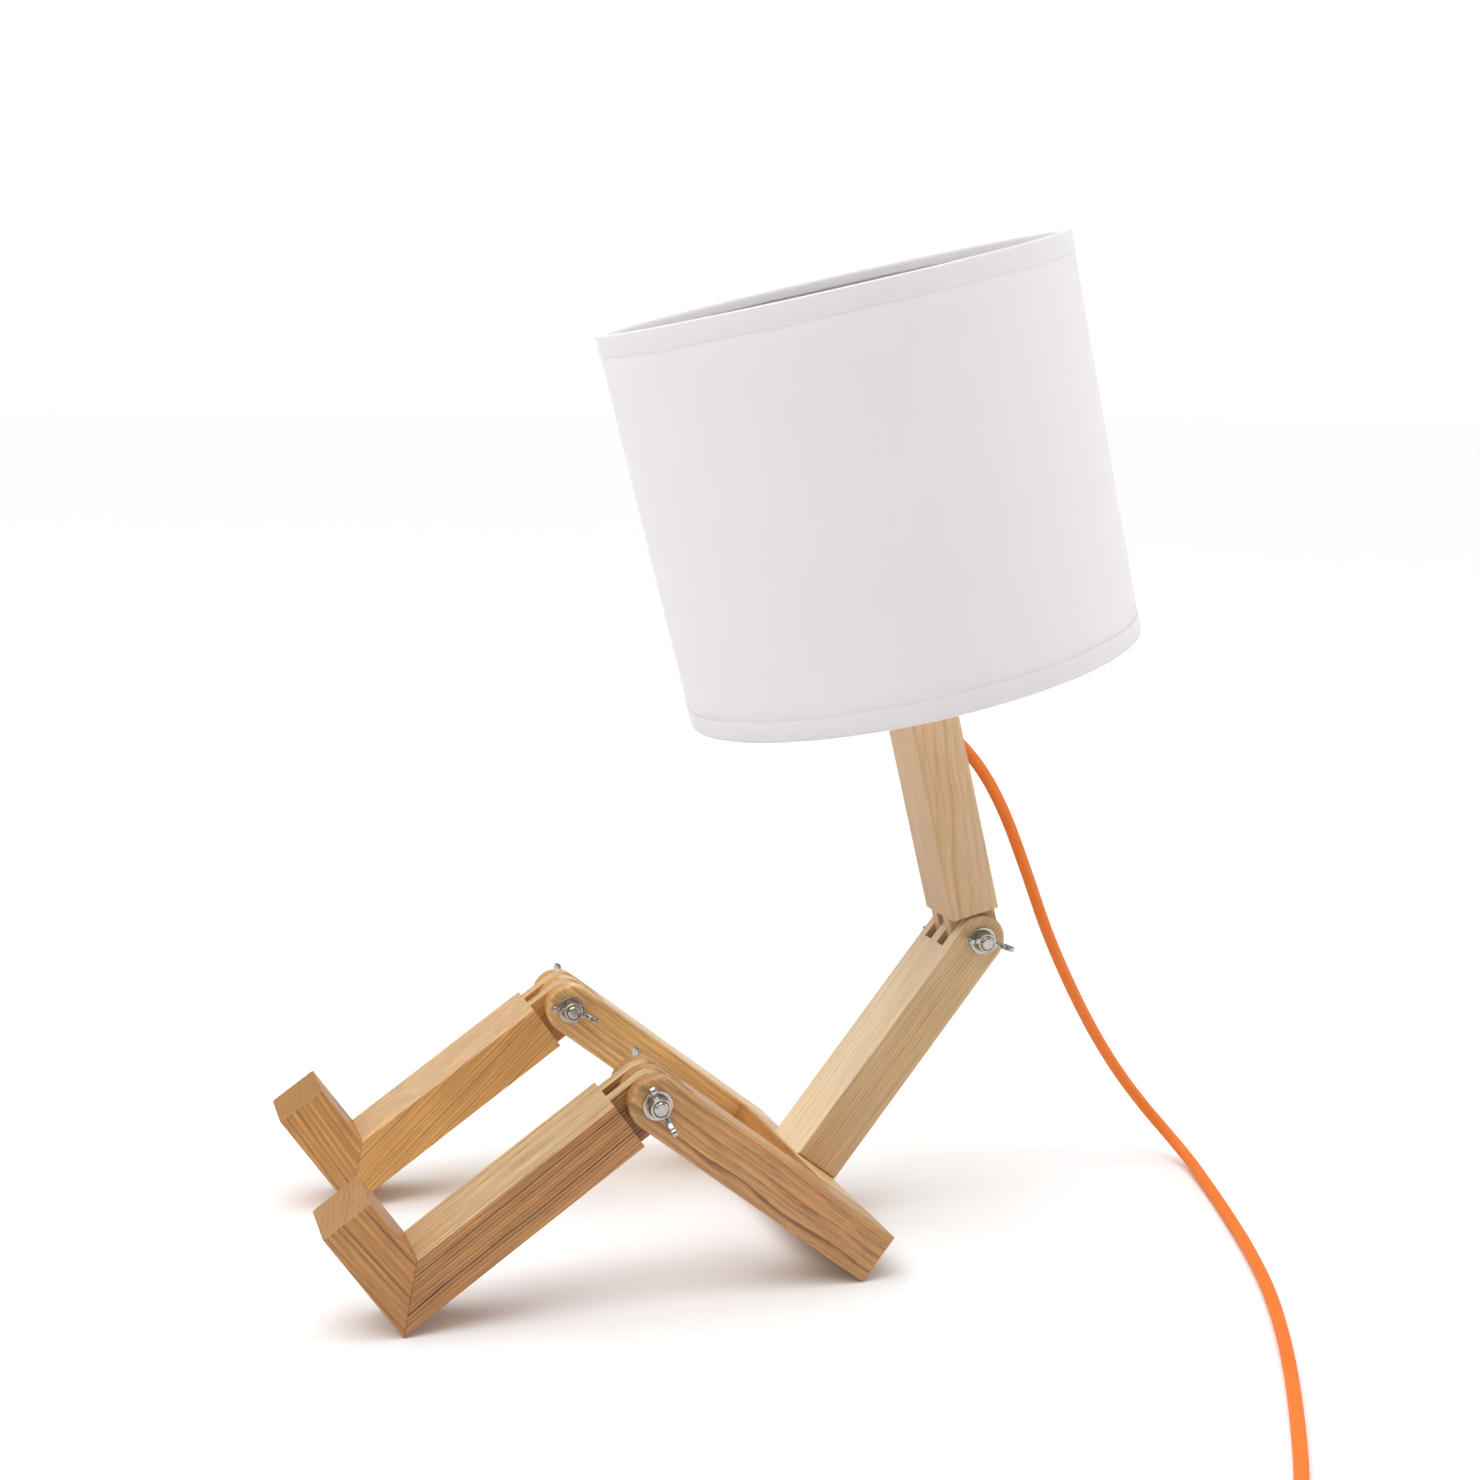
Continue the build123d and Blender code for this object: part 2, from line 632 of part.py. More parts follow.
def switch_outline(z, height, inset=0.0):
    """Rounded block of the housing's outline, from z upwards."""
    block = Pos(0, 0, z) * Box(switch_length - 2 * inset, switch_width - 2 * inset, height,
                               align=(Align.CENTER, Align.CENTER, Align.MIN))
    return fillet(block.edges().filter_by(Axis.Z), switch_corner_r - inset)


def cord_entry():
    return Pos(0, 0, switch_half) * Rot(0, 90, 0) * Cylinder(cord_r + entry_gap, switch_length + bar_t)


def bosses(z, height):
    posts = [Pos(x, y, z) * Cylinder(switch_boss_r, height, align=(Align.CENTER, Align.CENTER, Align.MIN))
             for x, y in screw_spots]
    return posts[0] + posts[1]


def switch_screws(gap=0.0):
    return Compound(children=[
        Pos(x, y, 0) * countersunk_screw(switch_top - switch_wall - switch_screw_tip, switch_screw_r + gap,
                                         switch_screw_head_r + gap, switch_screw_tip)
        for x, y in screw_spots])


def switch_base():
    base = switch_outline(0, switch_half)
    base = fillet(base.edges().group_by(Axis.Z)[0], switch_foot_r)
    base -= switch_outline(switch_wall, switch_half, switch_wall)
    base += bosses(switch_wall / 2, switch_half - switch_wall / 2)
    return base - cord_entry() - switch_screws(screw_gap)


def switch_cover():
    cover = switch_outline(switch_half, switch_half)
    cover = fillet(cover.edges().group_by(Axis.Z)[-1], switch_edge_r)
    cover -= switch_outline(switch_half - switch_wall, switch_half, switch_wall)
    cover += bosses(switch_half, switch_half - switch_wall / 2)
    slot_w = rocker_width + 2 * rocker_gap
    mouth = Pos(0, 0, switch_top) * Box(rocker_length + 2 * rocker_gap, slot_w, 3 * switch_wall)
    cheeks = Pos(0, 0, rocker_z - cheek_drop) * Box(4 * rocker_pin_r, slot_w + 2 * switch_wall, cheek_height)
    cheeks -= Pos(0, 0, rocker_z) * Box(rocker_length, slot_w, 6 * switch_wall)
    cover = cover - mouth + cheeks - cord_entry() - switch_screws(screw_gap)
    pin_room = slot_w + 2 * (rocker_pin_length + screw_gap)
    return cover - cross_rod(rocker_pin_r + rocker_pin_gap, pin_room, 0, 0, rocker_z)


def switch_rocker():
    """Rocker with its pivot pins, at rest with one end pressed down."""
    half = rocker_length / 2
    end = rocker_crown + half * tan(radians(rocker_tilt))
    body = side_prism(rocker_width, (-half, -rocker_skirt), (half, -rocker_skirt), (half, end),
                      (0, rocker_crown), (-half, end))
    body += cross_rod(rocker_pin_r, rocker_width + 2 * (rocker_gap + rocker_pin_length))
    return Pos(0, 0, rocker_z) * Rot(0, rocker_tilt, 0) * body


def switch_contacts():
    """Two bent strips on the floor of the base, below the ends of the rocker."""
    start, bend, end = contact_start, contact_start + contact_t, contact_start + contact_span
    strip = side_prism(contact_w, (start, 0), (end, 0), (end, contact_t), (bend, contact_t),
                       (bend, contact_rise), (start, contact_rise))
    strip = Pos(0, 0, switch_wall) * strip
    return Compound(children=[strip, Rot(0, 0, 180) * strip])


# ---------------------------------------------------------------- plug, along X from the cord
plug_face = relief_length + plug_length


def plug_relief():
    """Ribbed sleeve that tapers from the plug to the cord, its axis along X."""
    sleeve = turned((0, 0), (relief_end_r, 0), (relief_r, relief_length), (0, relief_length))
    floor_r, outside_r = cord_r + rib_wall, 2 * relief_r
    for i in range(rib_count):
        z = rib_start + i * rib_pitch
        sleeve -= turned((floor_r, z), (outside_r, z), (outside_r, z + rib_w), (floor_r, z + rib_w))
    return Rot(0, 90, 0) * sleeve


def plug_body():
    """Flat body, narrow at the cord and wide at the pins."""
    waist, side = plug_waist / 2, plug_width / 2
    start, shoulder = relief_length, relief_length + plug_shoulder
    outline = Polyline((start, -waist), (shoulder, -side), (plug_face, -side), (plug_face, side),
                       (shoulder, side), (start, waist), close=True)
    body = extrude(make_face(outline), plug_height / 2, both=True)
    body = fillet(body.edges().filter_by(Axis.Z), plug_corner_r)
    body = fillet(body.faces().filter_by(Axis.Z).edges(), plug_edge_r)
    return body - plug_pins() - plug_pin_sleeves()


def both_pins(pin):
    """A pair of pieces along X from the plug's face, made from one along +Z."""
    pin = Pos(plug_face, 0, 0) * Rot(0, 90, 0) * pin
    return Compound(children=[Pos(0, y, 0) * pin for y in (-pin_pitch / 2, pin_pitch / 2)])


def plug_pins():
    """Pins, thinner inside the body and under their sleeves."""
    pin = turned((0, -pin_root), (pin_core_r, -pin_root), (pin_core_r, pin_sleeve_length),
                 (pin_r, pin_sleeve_length), (pin_r, pin_length), (0, pin_length))
    return both_pins(fillet(pin.edges().group_by(Axis.Z)[-1], pin_nose_r))


def plug_pin_sleeves():
    foot, end = -pin_sleeve_root, pin_sleeve_length
    return both_pins(turned((pin_core_r, foot), (pin_sleeve_r, foot), (pin_sleeve_r, end), (pin_core_r, end)))


nodes = {}
for side, y in legs.items():
    nodes[f"thigh_{side}"] = thigh_plane(y) * three_finger_bar(thigh_length, knee_seat)
    nodes[f"shin_{side}"] = shin_plane(y) * shin()
    nodes[f"foot_{side}"] = shin_plane(y) * foot()
    nodes[f"heel_dowels_{side}"] = shin_plane(y) * heel_dowels()
    nodes.update(hinge_set(f"knee_{side}", knee + Vector(0, y, 0)))
for side in legs:
    nodes[f"thigh_{side}"] -= hip_plane * hip_dowels(dowel_gap, dowel_end_gap)

nodes["hip_block"] = hip_plane * hip_block()
nodes["hip_dowels"] = hip_plane * hip_dowels()
nodes["torso_screws"] = hip_plane * torso_screws()
nodes["torso"] = torso_plane * three_finger_bar(torso_length, neck_seat) - hip_plane * torso_screws(screw_gap)
nodes.update(hinge_set("neck", neck_pivot))

nodes["neck"] = neck()
nodes["cord_in_neck"] = cord_in_neck()
for name, make in (("holder_nipple", nipple), ("holder_cap", holder_cap), ("holder_skirt", holder_skirt),
                   ("holder_insert", holder_insert), ("holder_thread_shell", socket_shell),
                   ("holder_centre_contact", centre_contact), ("holder_terminals", holder_terminals),
                   ("holder_wires", holder_wires), ("shade_skin", shade_skin), ("shade_spider", shade_spider),
                   ("shade_retaining_ring", retaining_ring)):
    nodes[name] = shade_plane * make()
nodes["shade_hem_bottom"] = shade_plane * shade_hem(shade_drop, 1, shade_r_bottom)
nodes["shade_hem_top"] = shade_plane * shade_hem(shade_top, -1, shade_r_top)
nodes["shade_top_wire"] = shade_plane * wire_ring(ring_r_top, shade_top - ring_wire_r - ring_gap)

coil = cord_coil()
nodes["cord_drop"] = cord_tube("cord_drop", drop_points)
nodes["cord_floor"] = cord_tube("cord_floor", floor_points)
nodes["cord_loop"] = cord_tube("cord_loop", loop_points) - coil
nodes["cord_coil"] = coil
nodes["cord_tail"] = cord_tube("cord_tail", tail_points) - coil
for name, make in (("switch_base", switch_base), ("switch_cover", switch_cover),
                   ("switch_rocker", switch_rocker), ("switch_contacts", switch_contacts),
                   ("switch_screws", switch_screws)):
    nodes[name] = switch_plane * make()
for name, make in (("plug_strain_relief", plug_relief), ("plug_body", plug_body), ("plug_pins", plug_pins),
                   ("plug_pin_sleeves", plug_pin_sleeves)):
    nodes[name] = plug_plane * make()

os.makedirs("parts", exist_ok=True)
for name, shape in nodes.items():
    export_step(shape, f"parts/{name}.step")
print("knee", knee, "neck pivot", neck_pivot, "shin slope", round(shin_slope, 3))
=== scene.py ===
# Seated robot lamp of finger-jointed ash bars with a drum shade. Metres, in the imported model's frame.
import json
from math import atan2, cos, hypot, pi, radians, sin, tau

import bmesh
import bpy
from mathutils import Matrix, Vector, geometry


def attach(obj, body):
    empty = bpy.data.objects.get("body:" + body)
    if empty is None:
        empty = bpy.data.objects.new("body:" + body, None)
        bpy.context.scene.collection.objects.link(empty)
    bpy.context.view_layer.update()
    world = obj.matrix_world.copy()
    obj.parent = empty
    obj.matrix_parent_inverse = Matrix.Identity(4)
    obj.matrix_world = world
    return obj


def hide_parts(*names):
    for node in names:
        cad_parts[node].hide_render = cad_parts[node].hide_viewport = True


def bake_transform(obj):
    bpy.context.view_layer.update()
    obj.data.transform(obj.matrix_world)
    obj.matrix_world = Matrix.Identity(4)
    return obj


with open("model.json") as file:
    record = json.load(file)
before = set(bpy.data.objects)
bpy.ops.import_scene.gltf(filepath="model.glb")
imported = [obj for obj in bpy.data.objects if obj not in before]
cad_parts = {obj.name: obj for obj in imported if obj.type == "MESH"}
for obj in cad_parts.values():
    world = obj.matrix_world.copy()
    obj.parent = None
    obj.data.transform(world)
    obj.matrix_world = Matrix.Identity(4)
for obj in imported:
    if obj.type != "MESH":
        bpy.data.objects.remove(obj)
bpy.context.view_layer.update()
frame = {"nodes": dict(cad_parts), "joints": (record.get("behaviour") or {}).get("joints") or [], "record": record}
mm = 0.001

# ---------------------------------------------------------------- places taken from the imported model
joints = {joint["name"]: joint for joint in frame["joints"]}
bodies = frame["record"]["behaviour"]["bodies"]
body_of_node = {node: body for body, nodes in bodies.items() for node in nodes}
slot_of_node = {part["node"]: part["material_slot"] for part in frame["record"]["subparts"]}


def pivot(joint):
    """Middle of a hinge, on its axis."""
    return Vector(joints[joint]["pos_m"])


def level(angle):
    """Unit vector in the XZ plane, so many degrees above +X."""
    return Vector((cos(radians(angle)), 0, sin(radians(angle))))


def heading(angle):
    """Unit vector on the floor, so many degrees from +X towards +Y."""
    return Vector((cos(radians(angle)), sin(radians(angle)), 0))


def placed(origin, along, up):
    """Matrix of a piece's own frame: X along it, Z up from it."""
    x, z = along.normalized(), up.normalized()
    y = z.cross(x)
    return Matrix.Translation(origin) @ Matrix((x, y, z)).transposed().to_4x4()


thigh_slope = 38.4          # degrees below level, from the knee to the hip
shin_slope = 34.897         # degrees below level, from the knee to the heel
neck_lean = 13.7            # degrees forward of upright
bar_depth = 22 * mm         # a bar's thickness, in the plane of its hinge
shin_length = 128.5 * mm
thigh_length = 119 * mm
hip_depth = 24 * mm         # the hip block, along the thighs

thigh_dir, thigh_up = level(-thigh_slope), level(90 - thigh_slope)
shin_dir, shin_up = level(180 + shin_slope), level(90 + shin_slope)
neck_dir, neck_back = level(90 + neck_lean), level(neck_lean)
neck_pivot = pivot("neck_tilt")
shade_place = placed(neck_pivot, neck_back, neck_dir)
sides = {"near": pivot("knee_near"), "far": pivot("knee_far")}
middle_knee = (sides["near"] + sides["far"]) / 2
hip_middle = middle_knee + thigh_dir * (thigh_length - hip_depth / 2)

cord_r = 2.6 * mm
exit_height = 89 * mm       # neck pivot to the cord's exit, along the back face
exit_angle = radians(35)    # exit bore to the neck's axis
cord_mouth = shade_place @ Vector((bar_depth / 2, 0, exit_height))
cord_out = (neck_back * sin(exit_angle) - neck_dir * cos(exit_angle)).normalized()
switch_axis = 8 * mm        # floor to the cord's axis in the switch
switch_middle = pivot("switch_rocker_tilt").to_2d().to_3d() + Vector((0, 0, switch_axis))
switch_dir = heading(235)
plug_entry = Vector((-134, -441, 7)) * mm
plug_dir = heading(188)
coil_middle = Vector((-44, -400.2, 0)) * mm


# ---------------------------------------------------------------- node trees
class Finish:
    """A material whose pattern is written as steps from socket to socket."""

    def __init__(self, name, colour, roughness, metallic=0.0):
        self.material = bpy.data.materials.new(name)
        self.material.use_nodes = True
        self.tree = self.material.node_tree
        self.shader = self.tree.nodes["Principled BSDF"]
        self.set(Base_Color=(*colour, 1), Roughness=roughness, Metallic=metallic)

    def set(self, **values):
        """Values or sockets for the shader, by the socket's name."""
        for name, value in values.items():
            self.join(value, self.shader.inputs[name.replace("_", " ")])
        return self

    def join(self, value, socket):
        """Links a socket to this one, or sets its value; None leaves it as it is."""
        if isinstance(value, bpy.types.NodeSocket):
            self.tree.links.new(value, socket)
        elif value is not None:
            socket.default_value = value

    def node(self, kind, *values, out=0, **settings):
        """A new node with these inputs in order; gives its output."""
        made = self.tree.nodes.new("ShaderNode" + kind)
        for name, value in settings.items():
            setattr(made, name, value)
        for value, socket in zip(values, made.inputs):
            self.join(value, socket)
        return made.outputs[out]

    def math(self, operation, *values, clamp=False):
        """One sum on sockets or numbers."""
        return self.node("Math", *values, operation=operation, use_clamp=clamp)

    def local(self, place, scale=mm):
        """Object coordinates in a piece's own frame, in steps of scale."""
        where = self.node("TexCoord", out="Object")
        turned_by = place.to_euler()
        return self.node("Mapping", where, place.translation, turned_by, (scale,) * 3, vector_type="TEXTURE")

    def facing(self, way):
        """How squarely a face looks that way, from -1 to 1."""
        normal = self.node("TexCoord", out="Normal")
        return self.node("VectorMath", normal, way, operation="DOT_PRODUCT", out="Value")

    def stretched(self, where, *factors):
        """Coordinates times a factor for each axis; a small one draws the pattern out."""
        return self.node("VectorMath", where, factors, operation="MULTIPLY")

    def split(self, where):
        """X, Y and Z of a vector."""
        made = self.tree.nodes.new("ShaderNodeSeparateXYZ")
        self.join(where, made.inputs[0])
        return made.outputs

    def noise(self, where, scale=1.0, detail=2.0, rough=0.5):
        """Soft noise about 0.5."""
        return self.node("TexNoise", where, None, scale, detail, rough)

    def ramp(self, value, *stops):
        """Grey level at each (place, level) stop, straight between them."""
        made = self.tree.nodes.new("ShaderNodeValToRGB")
        points = made.color_ramp.elements
        while len(points) < len(stops):
            points.new(0.5)
        for point, (place, grey) in zip(points, stops):
            point.position, point.color = place, (grey, grey, grey, 1)
        self.join(value, made.inputs[0])
        return made.outputs[0]

    def mix(self, share, first, second, blend="MIX"):
        """Colour that goes from the first to the second, or to their blend, by a share."""
        made = self.tree.nodes.new("ShaderNodeMix")
        made.data_type, made.blend_type = "RGBA", blend
        for value, index in ((share, 0), (first, 6), (second, 7)):     # the factor, A and B of a colour mix
            colour = (*value, 1) if isinstance(value, tuple) else value
            self.join(colour, made.inputs[index])
        return made.outputs[2]

    def bump(self, height, distance, strength=1.0):
        """Small relief on the surface, that high where the height is 1."""
        made = self.tree.nodes.new("ShaderNodeBump")
        for name, value in (("Height", height), ("Distance", distance), ("Strength", strength)):
            self.join(value, made.inputs[name])
        self.set(Normal=made.outputs[0])
        return self


def shown(red, green, blue):
    """Linear colour of a display colour from 0 to 255, above its first dark steps."""
    return tuple(((c / 255 + 0.055) / 1.055) ** 2.4 for c in (red, green, blue))


# ---------------------------------------------------------------- meshes
weld_distance = 0.001 * mm
flat_angle = radians(0.6)       # facets that turn less than this are one face


def piece(name, shape, body, finish, slot, *stands_for):
    """A finished piece from a bmesh, on its body, in place of those CAD nodes."""
    mesh = bpy.data.meshes.new(name)
    bmesh.ops.recalc_face_normals(shape, faces=shape.faces)
    shape.to_mesh(mesh)
    shape.free()
    mesh.materials.append(finish.material)
    made = bpy.data.objects.new(name, mesh)
    bpy.context.collection.objects.link(made)
    if body:
        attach(made, body)
    if stands_for:
        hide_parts(*stands_for)
    return made


def joined(node):
    """A CAD node's shape with its doubled points merged and its flat facets joined."""
    shape = bmesh.new()
    shape.from_mesh(frame["nodes"][node].data)
    bmesh.ops.remove_doubles(shape, verts=shape.verts, dist=weld_distance)
    bmesh.ops.dissolve_limit(shape, angle_limit=flat_angle, verts=shape.verts, edges=shape.edges)
    return shape


def eased(node, finish, ease, sharp=35):
    """A CAD node with its edges of more than sharp degrees rounded, as a tool or a mould leaves them."""
    shape = joined(node)
    edges = [e for e in shape.edges if e.is_manifold and e.calc_face_angle() > radians(sharp)]
    bmesh.ops.bevel(shape, geom=edges, offset=ease, segments=2, profile=0.5, affect="EDGES", material=-1,
                    clamp_overlap=True)
    for face in shape.faces:
        face.smooth = True
    made = piece(f"{node}_eased", shape, body_of_node[node], finish, slot_of_node[node], node)
    made.modifiers.new("flat_faces", "WEIGHTED_NORMAL")
    return made


def forged(node, finish, grain=0.25 * mm):
    """A CAD node with the soft edges and corners of a forged piece."""
    made = piece(f"{node}_forged", joined(node), body_of_node[node], finish, slot_of_node[node], node)
    skin = made.modifiers.new("skin", "REMESH")
    skin.mode, skin.voxel_size, skin.use_smooth_shade = "VOXEL", grain, True
    relax = made.modifiers.new("soft_edges", "SMOOTH")
    relax.factor, relax.iterations = 0.5, 5
    return made


def turned(place, profile, steps=128, shift=None):
    """Closed surface turned about a place's Z axis from (r, z) points in mm.

    shift takes a point's angle, r and z, and gives the r and z it moves to."""
    shape = bmesh.new()
    corners = [shape.verts.new((r, 0, z)) for r, z in profile]
    outline = [shape.edges.new(pair) for pair in zip(corners, corners[1:] + corners[:1])]
    bmesh.ops.spin(shape, geom=corners + outline, cent=(0, 0, 0), axis=(0, 0, 1), angle=tau, steps=steps,
                   use_merge=True)
    for vert in shape.verts:
        x, y, z = vert.co
        angle, r = atan2(y, x) % tau, hypot(x, y)
        if shift:
            r, z = shift(angle, r, z)
        vert.co = place @ (Vector((r * cos(angle), r * sin(angle), z)) * mm)
    for face in shape.faces:
        face.smooth = True
    return shape


def smooth_line(points):
    """Points along the smooth curve that has these control points, in metres."""
    curve = bpy.data.curves.new("line", "CURVE")
    curve.dimensions = "3D"
    spline = curve.splines.new("NURBS")
    spline.points.add(len(points) - 1)
    for spot, point in zip(spline.points, points):
        spot.co = (*point, 1)
    spline.order_u = 3
    spline.use_endpoint_u = True
    curve.resolution_u = 12
    carrier = bpy.data.objects.new("line", curve)
    line = bpy.data.meshes.new_from_object(carrier)
    path = [v.co.copy() for v in line.vertices]
    bpy.data.objects.remove(carrier)
    bpy.data.meshes.remove(line)
    return path


def tube(path, radius, sides=24):
    """Round tube along a path, with a UV of metres along it and turns round it."""
    shape = bmesh.new()
    uv = shape.loops.layers.uv.new("UVMap")
    spokes = [(cos(tau * j / sides), sin(tau * j / sides)) for j in range(sides)]
    ahead = (path[1] - path[0]).normalized()
    across = ahead.orthogonal().normalized()
    rings, along, reach = [], [], 0.0
    for i, point in enumerate(path):
        before, after = path[max(i - 1, 0)], path[min(i + 1, len(path) - 1)]
        turn = ahead.rotation_difference((after - before).normalized())
        ahead, across = (after - before).normalized(), turn @ across
        beside = ahead.cross(across)
        reach += (point - path[max(i - 1, 0)]).length
        along.append(reach)
        rings.append([shape.verts.new(point + (across * x + beside * y) * radius) for x, y in spokes])
    for i in range(len(path) - 1):
        for j in range(sides):
            k = (j + 1) % sides
            face = shape.faces.new((rings[i][j], rings[i][k], rings[i + 1][k], rings[i + 1][j]))
            face.smooth = True
            for loop, spot in zip(face.loops, ((i, j), (i, j + 1), (i + 1, j + 1), (i + 1, j))):
                loop[uv].uv = (along[spot[0]], spot[1] / sides)
    for ring in (rings[0], rings[-1]):
        shape.faces.new(ring)
    return shape


# ---------------------------------------------------------------- camera
def look(place, yaw, pitch, roll, lens, sensor=36):
    """Camera turned so many degrees from +Y towards +X, down, and about its own axis."""
    yaw, pitch, roll = radians(yaw), radians(pitch), radians(roll)
    right = Vector((cos(yaw), -sin(yaw), 0))
    ahead = Vector((sin(yaw) * cos(pitch), cos(yaw) * cos(pitch), -sin(pitch)))
    up = right.cross(ahead)
    x, y = right * cos(roll) + up * sin(roll), up * cos(roll) - right * sin(roll)
    data = bpy.data.cameras.new("camera")
    data.lens, data.sensor_width, data.clip_start = lens, sensor, 0.01
    camera = bpy.data.objects.new("camera", data)
    camera.matrix_world = Matrix.Translation(place) @ Matrix((x, y, -ahead)).transposed().to_4x4()
    bpy.context.collection.objects.link(camera)
    bpy.context.scene.camera = camera


look(Vector((-275.65, -873.02, 349.56)) * mm, yaw=17.977, pitch=8.668, roll=0.425, lens=53.514)

# ---------------------------------------------------------------- cord
braid_turn = 16         # strands that run each way round the cord
braid_pitch = 1.2 * mm  # along the cord, from strand to strand


def braided(name, colour, deep):
    """Tight diamond braid, over one and under one, from the tube's UV; its crevices get painted shade."""
    finish = Finish(name, colour, 0.62)
    along, around, _ = finish.split(finish.node("TexCoord", out="UV"))
    reach = finish.math("DIVIDE", along, braid_pitch)
    turns = finish.math("MULTIPLY", around, braid_turn)
    right, left = finish.math("ADD", reach, turns), finish.math("SUBTRACT", reach, turns)
    cells = finish.math("ADD", finish.math("FLOOR", right), finish.math("FLOOR", left))
    over = finish.math("PINGPONG", cells, 1.0)
    humps = [finish.math("SINE", finish.math("MULTIPLY", finish.math("FRACT", way), pi))
             for way in (right, left)]
    crown = finish.node("Mix", over, None, *humps, data_type="FLOAT")
    weave = finish.math("POWER", crown, 0.6)
    fuzz = finish.noise(finish.local(Matrix.Identity(4)), 4.0, 3.0, 0.6)
    slow = finish.noise(finish.local(Matrix.Identity(4)), 0.06, 2.0)
    # painted shade: the low parts of the weave, between strands, take the darker colour; fuzz and slow patches
    # vary it at random
    tone = finish.mix(finish.ramp(weave, (0.0, 1.0), (0.8, 0.0)), colour, deep)
    tone = finish.mix(finish.ramp(fuzz, (0.35, 0.0), (0.75, 0.3)), tone, deep)
    tone = finish.mix(finish.ramp(slow, (0.3, 0.0), (0.8, 0.25)), tone, deep)
    finish.set(Base_Color=tone, Sheen_Weight=0.35, Sheen_Roughness=0.4, Sheen_Tint=(*colour, 1), IOR=1.45)
    height = finish.math("ADD", weave, finish.math("MULTIPLY", fuzz, 0.35))
    return finish.bump(height, 0.22 * mm, 0.8)


# the darker orange is painted shade in the braid's crevices as well as a random darker tone
orange, darker_and_crevice_shade_orange = shown(255, 140, 48), shown(246, 104, 28)
lamp_cord = braided("orange_braid", orange, darker_and_crevice_shade_orange)


def on_switch(x):
    """Point on the cord's axis through the switch, x mm from its middle."""
    return switch_middle + switch_dir * x * mm


def on_coil(radius, angle, z):
    """Point of the coil, from mm and degrees clockwise from its lowest point in plan."""
    return coil_middle + Vector((-radius * sin(radians(angle)), -radius * cos(radians(angle)), z)) * mm


# the cord runs straight out of the neck, through each end of the switch and into the plug
exit_run = 15 * mm
switch_inner, switch_outer = 25, 45     # ends of that run in mm from the switch's middle
plug_run, plug_hold = 14 * mm, 4 * mm   # before the plug, and inside it
lying = cord_r / mm                     # height of the cord's axis where it lies on the floor, in mm

drop_points = [cord_mouth, cord_mouth + cord_out * exit_run] + [Vector(p) * mm for p in (
    (129.7, 1, 176), (143.7, 4, 145), (157.7, 8, 112), (179.3, 15, 74), (199.1, 21.5, 45.5), (215.1, 22, 25),
    (225.1, 13, 11.5), (227.1, -4, 4.6), (222.7, -25, lying), (212.1, -62, lying), (198.3, -106, lying),
    (181.3, -152, lying), (156.1, -205, lying), (128.3, -256, lying), (103.5, -298, lying))]
drop_points += [on_switch(-switch_outer), on_switch(-switch_inner)]

# the coil winds inwards on the floor, climbs, and winds outwards on its own turns; radii in mm
coil_turns, steps_per_turn = 5, 16
turns_below, climbed = 2, 3             # turns made when it starts to climb, and when it has climbed
cord_step = 2 * lying                   # the turns lie a cord apart
outer_turn = 36.2
inner_turn = outer_turn - cord_step * turns_below
coil_points = []
for step in range(coil_turns * steps_per_turn + 1):
    turn = step / steps_per_turn
    climb = min(max(turn - turns_below, 0), 1)
    rise = climb * climb * (3 - 2 * climb)
    if turn < turns_below:
        radius = outer_turn - cord_step * turn
    elif turn < climbed:
        radius = inner_turn - cord_step / 2 * rise
    else:
        radius = inner_turn - cord_step / 2 + cord_step * (turn - climbed)
    coil_points.append(on_coil(radius / cos(pi / steps_per_turn), 360 * turn, lying + cord_step * rise))

mains_points = [on_switch(switch_inner), on_switch(switch_outer)]
mains_points += [Vector(p) * mm for p in ((9, -419, 3.6), (-12, -433, lying))]
mains_points += coil_points
mains_points += [Vector(p) * mm for p in ((-66, -434.8, 6.6), (-94, -436, 3.6))]
mains_points += [plug_entry - plug_dir * plug_run, plug_entry + plug_dir * plug_hold]

drop_path = smooth_line(drop_points)
drop_cord = piece("lamp_cord", tube(drop_path, cord_r), None, lamp_cord, "cord_braid",
                  "cord_drop", "cord_floor")
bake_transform(drop_cord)

mains_path = smooth_line(mains_points)
mains_cord = piece("mains_cord", tube(mains_path, cord_r), "pelvis_and_torso", lamp_cord, "cord_braid",
                   "cord_loop", "cord_coil", "cord_tail")

# the spare cord's strap, closed round the turns where they run square to it
strap_angle = 190               # degrees round the coil
strap_width, strap_t = 9 * mm, 0.9 * mm
strap_lift = 0.05 * mm          # floor to its underside
strap_steps = 24                # points round each cord below it
strap_out = (on_coil(1, strap_angle, 0) - coil_middle).normalized()
strap_side = Vector((0, 0, 1)).cross(strap_out)


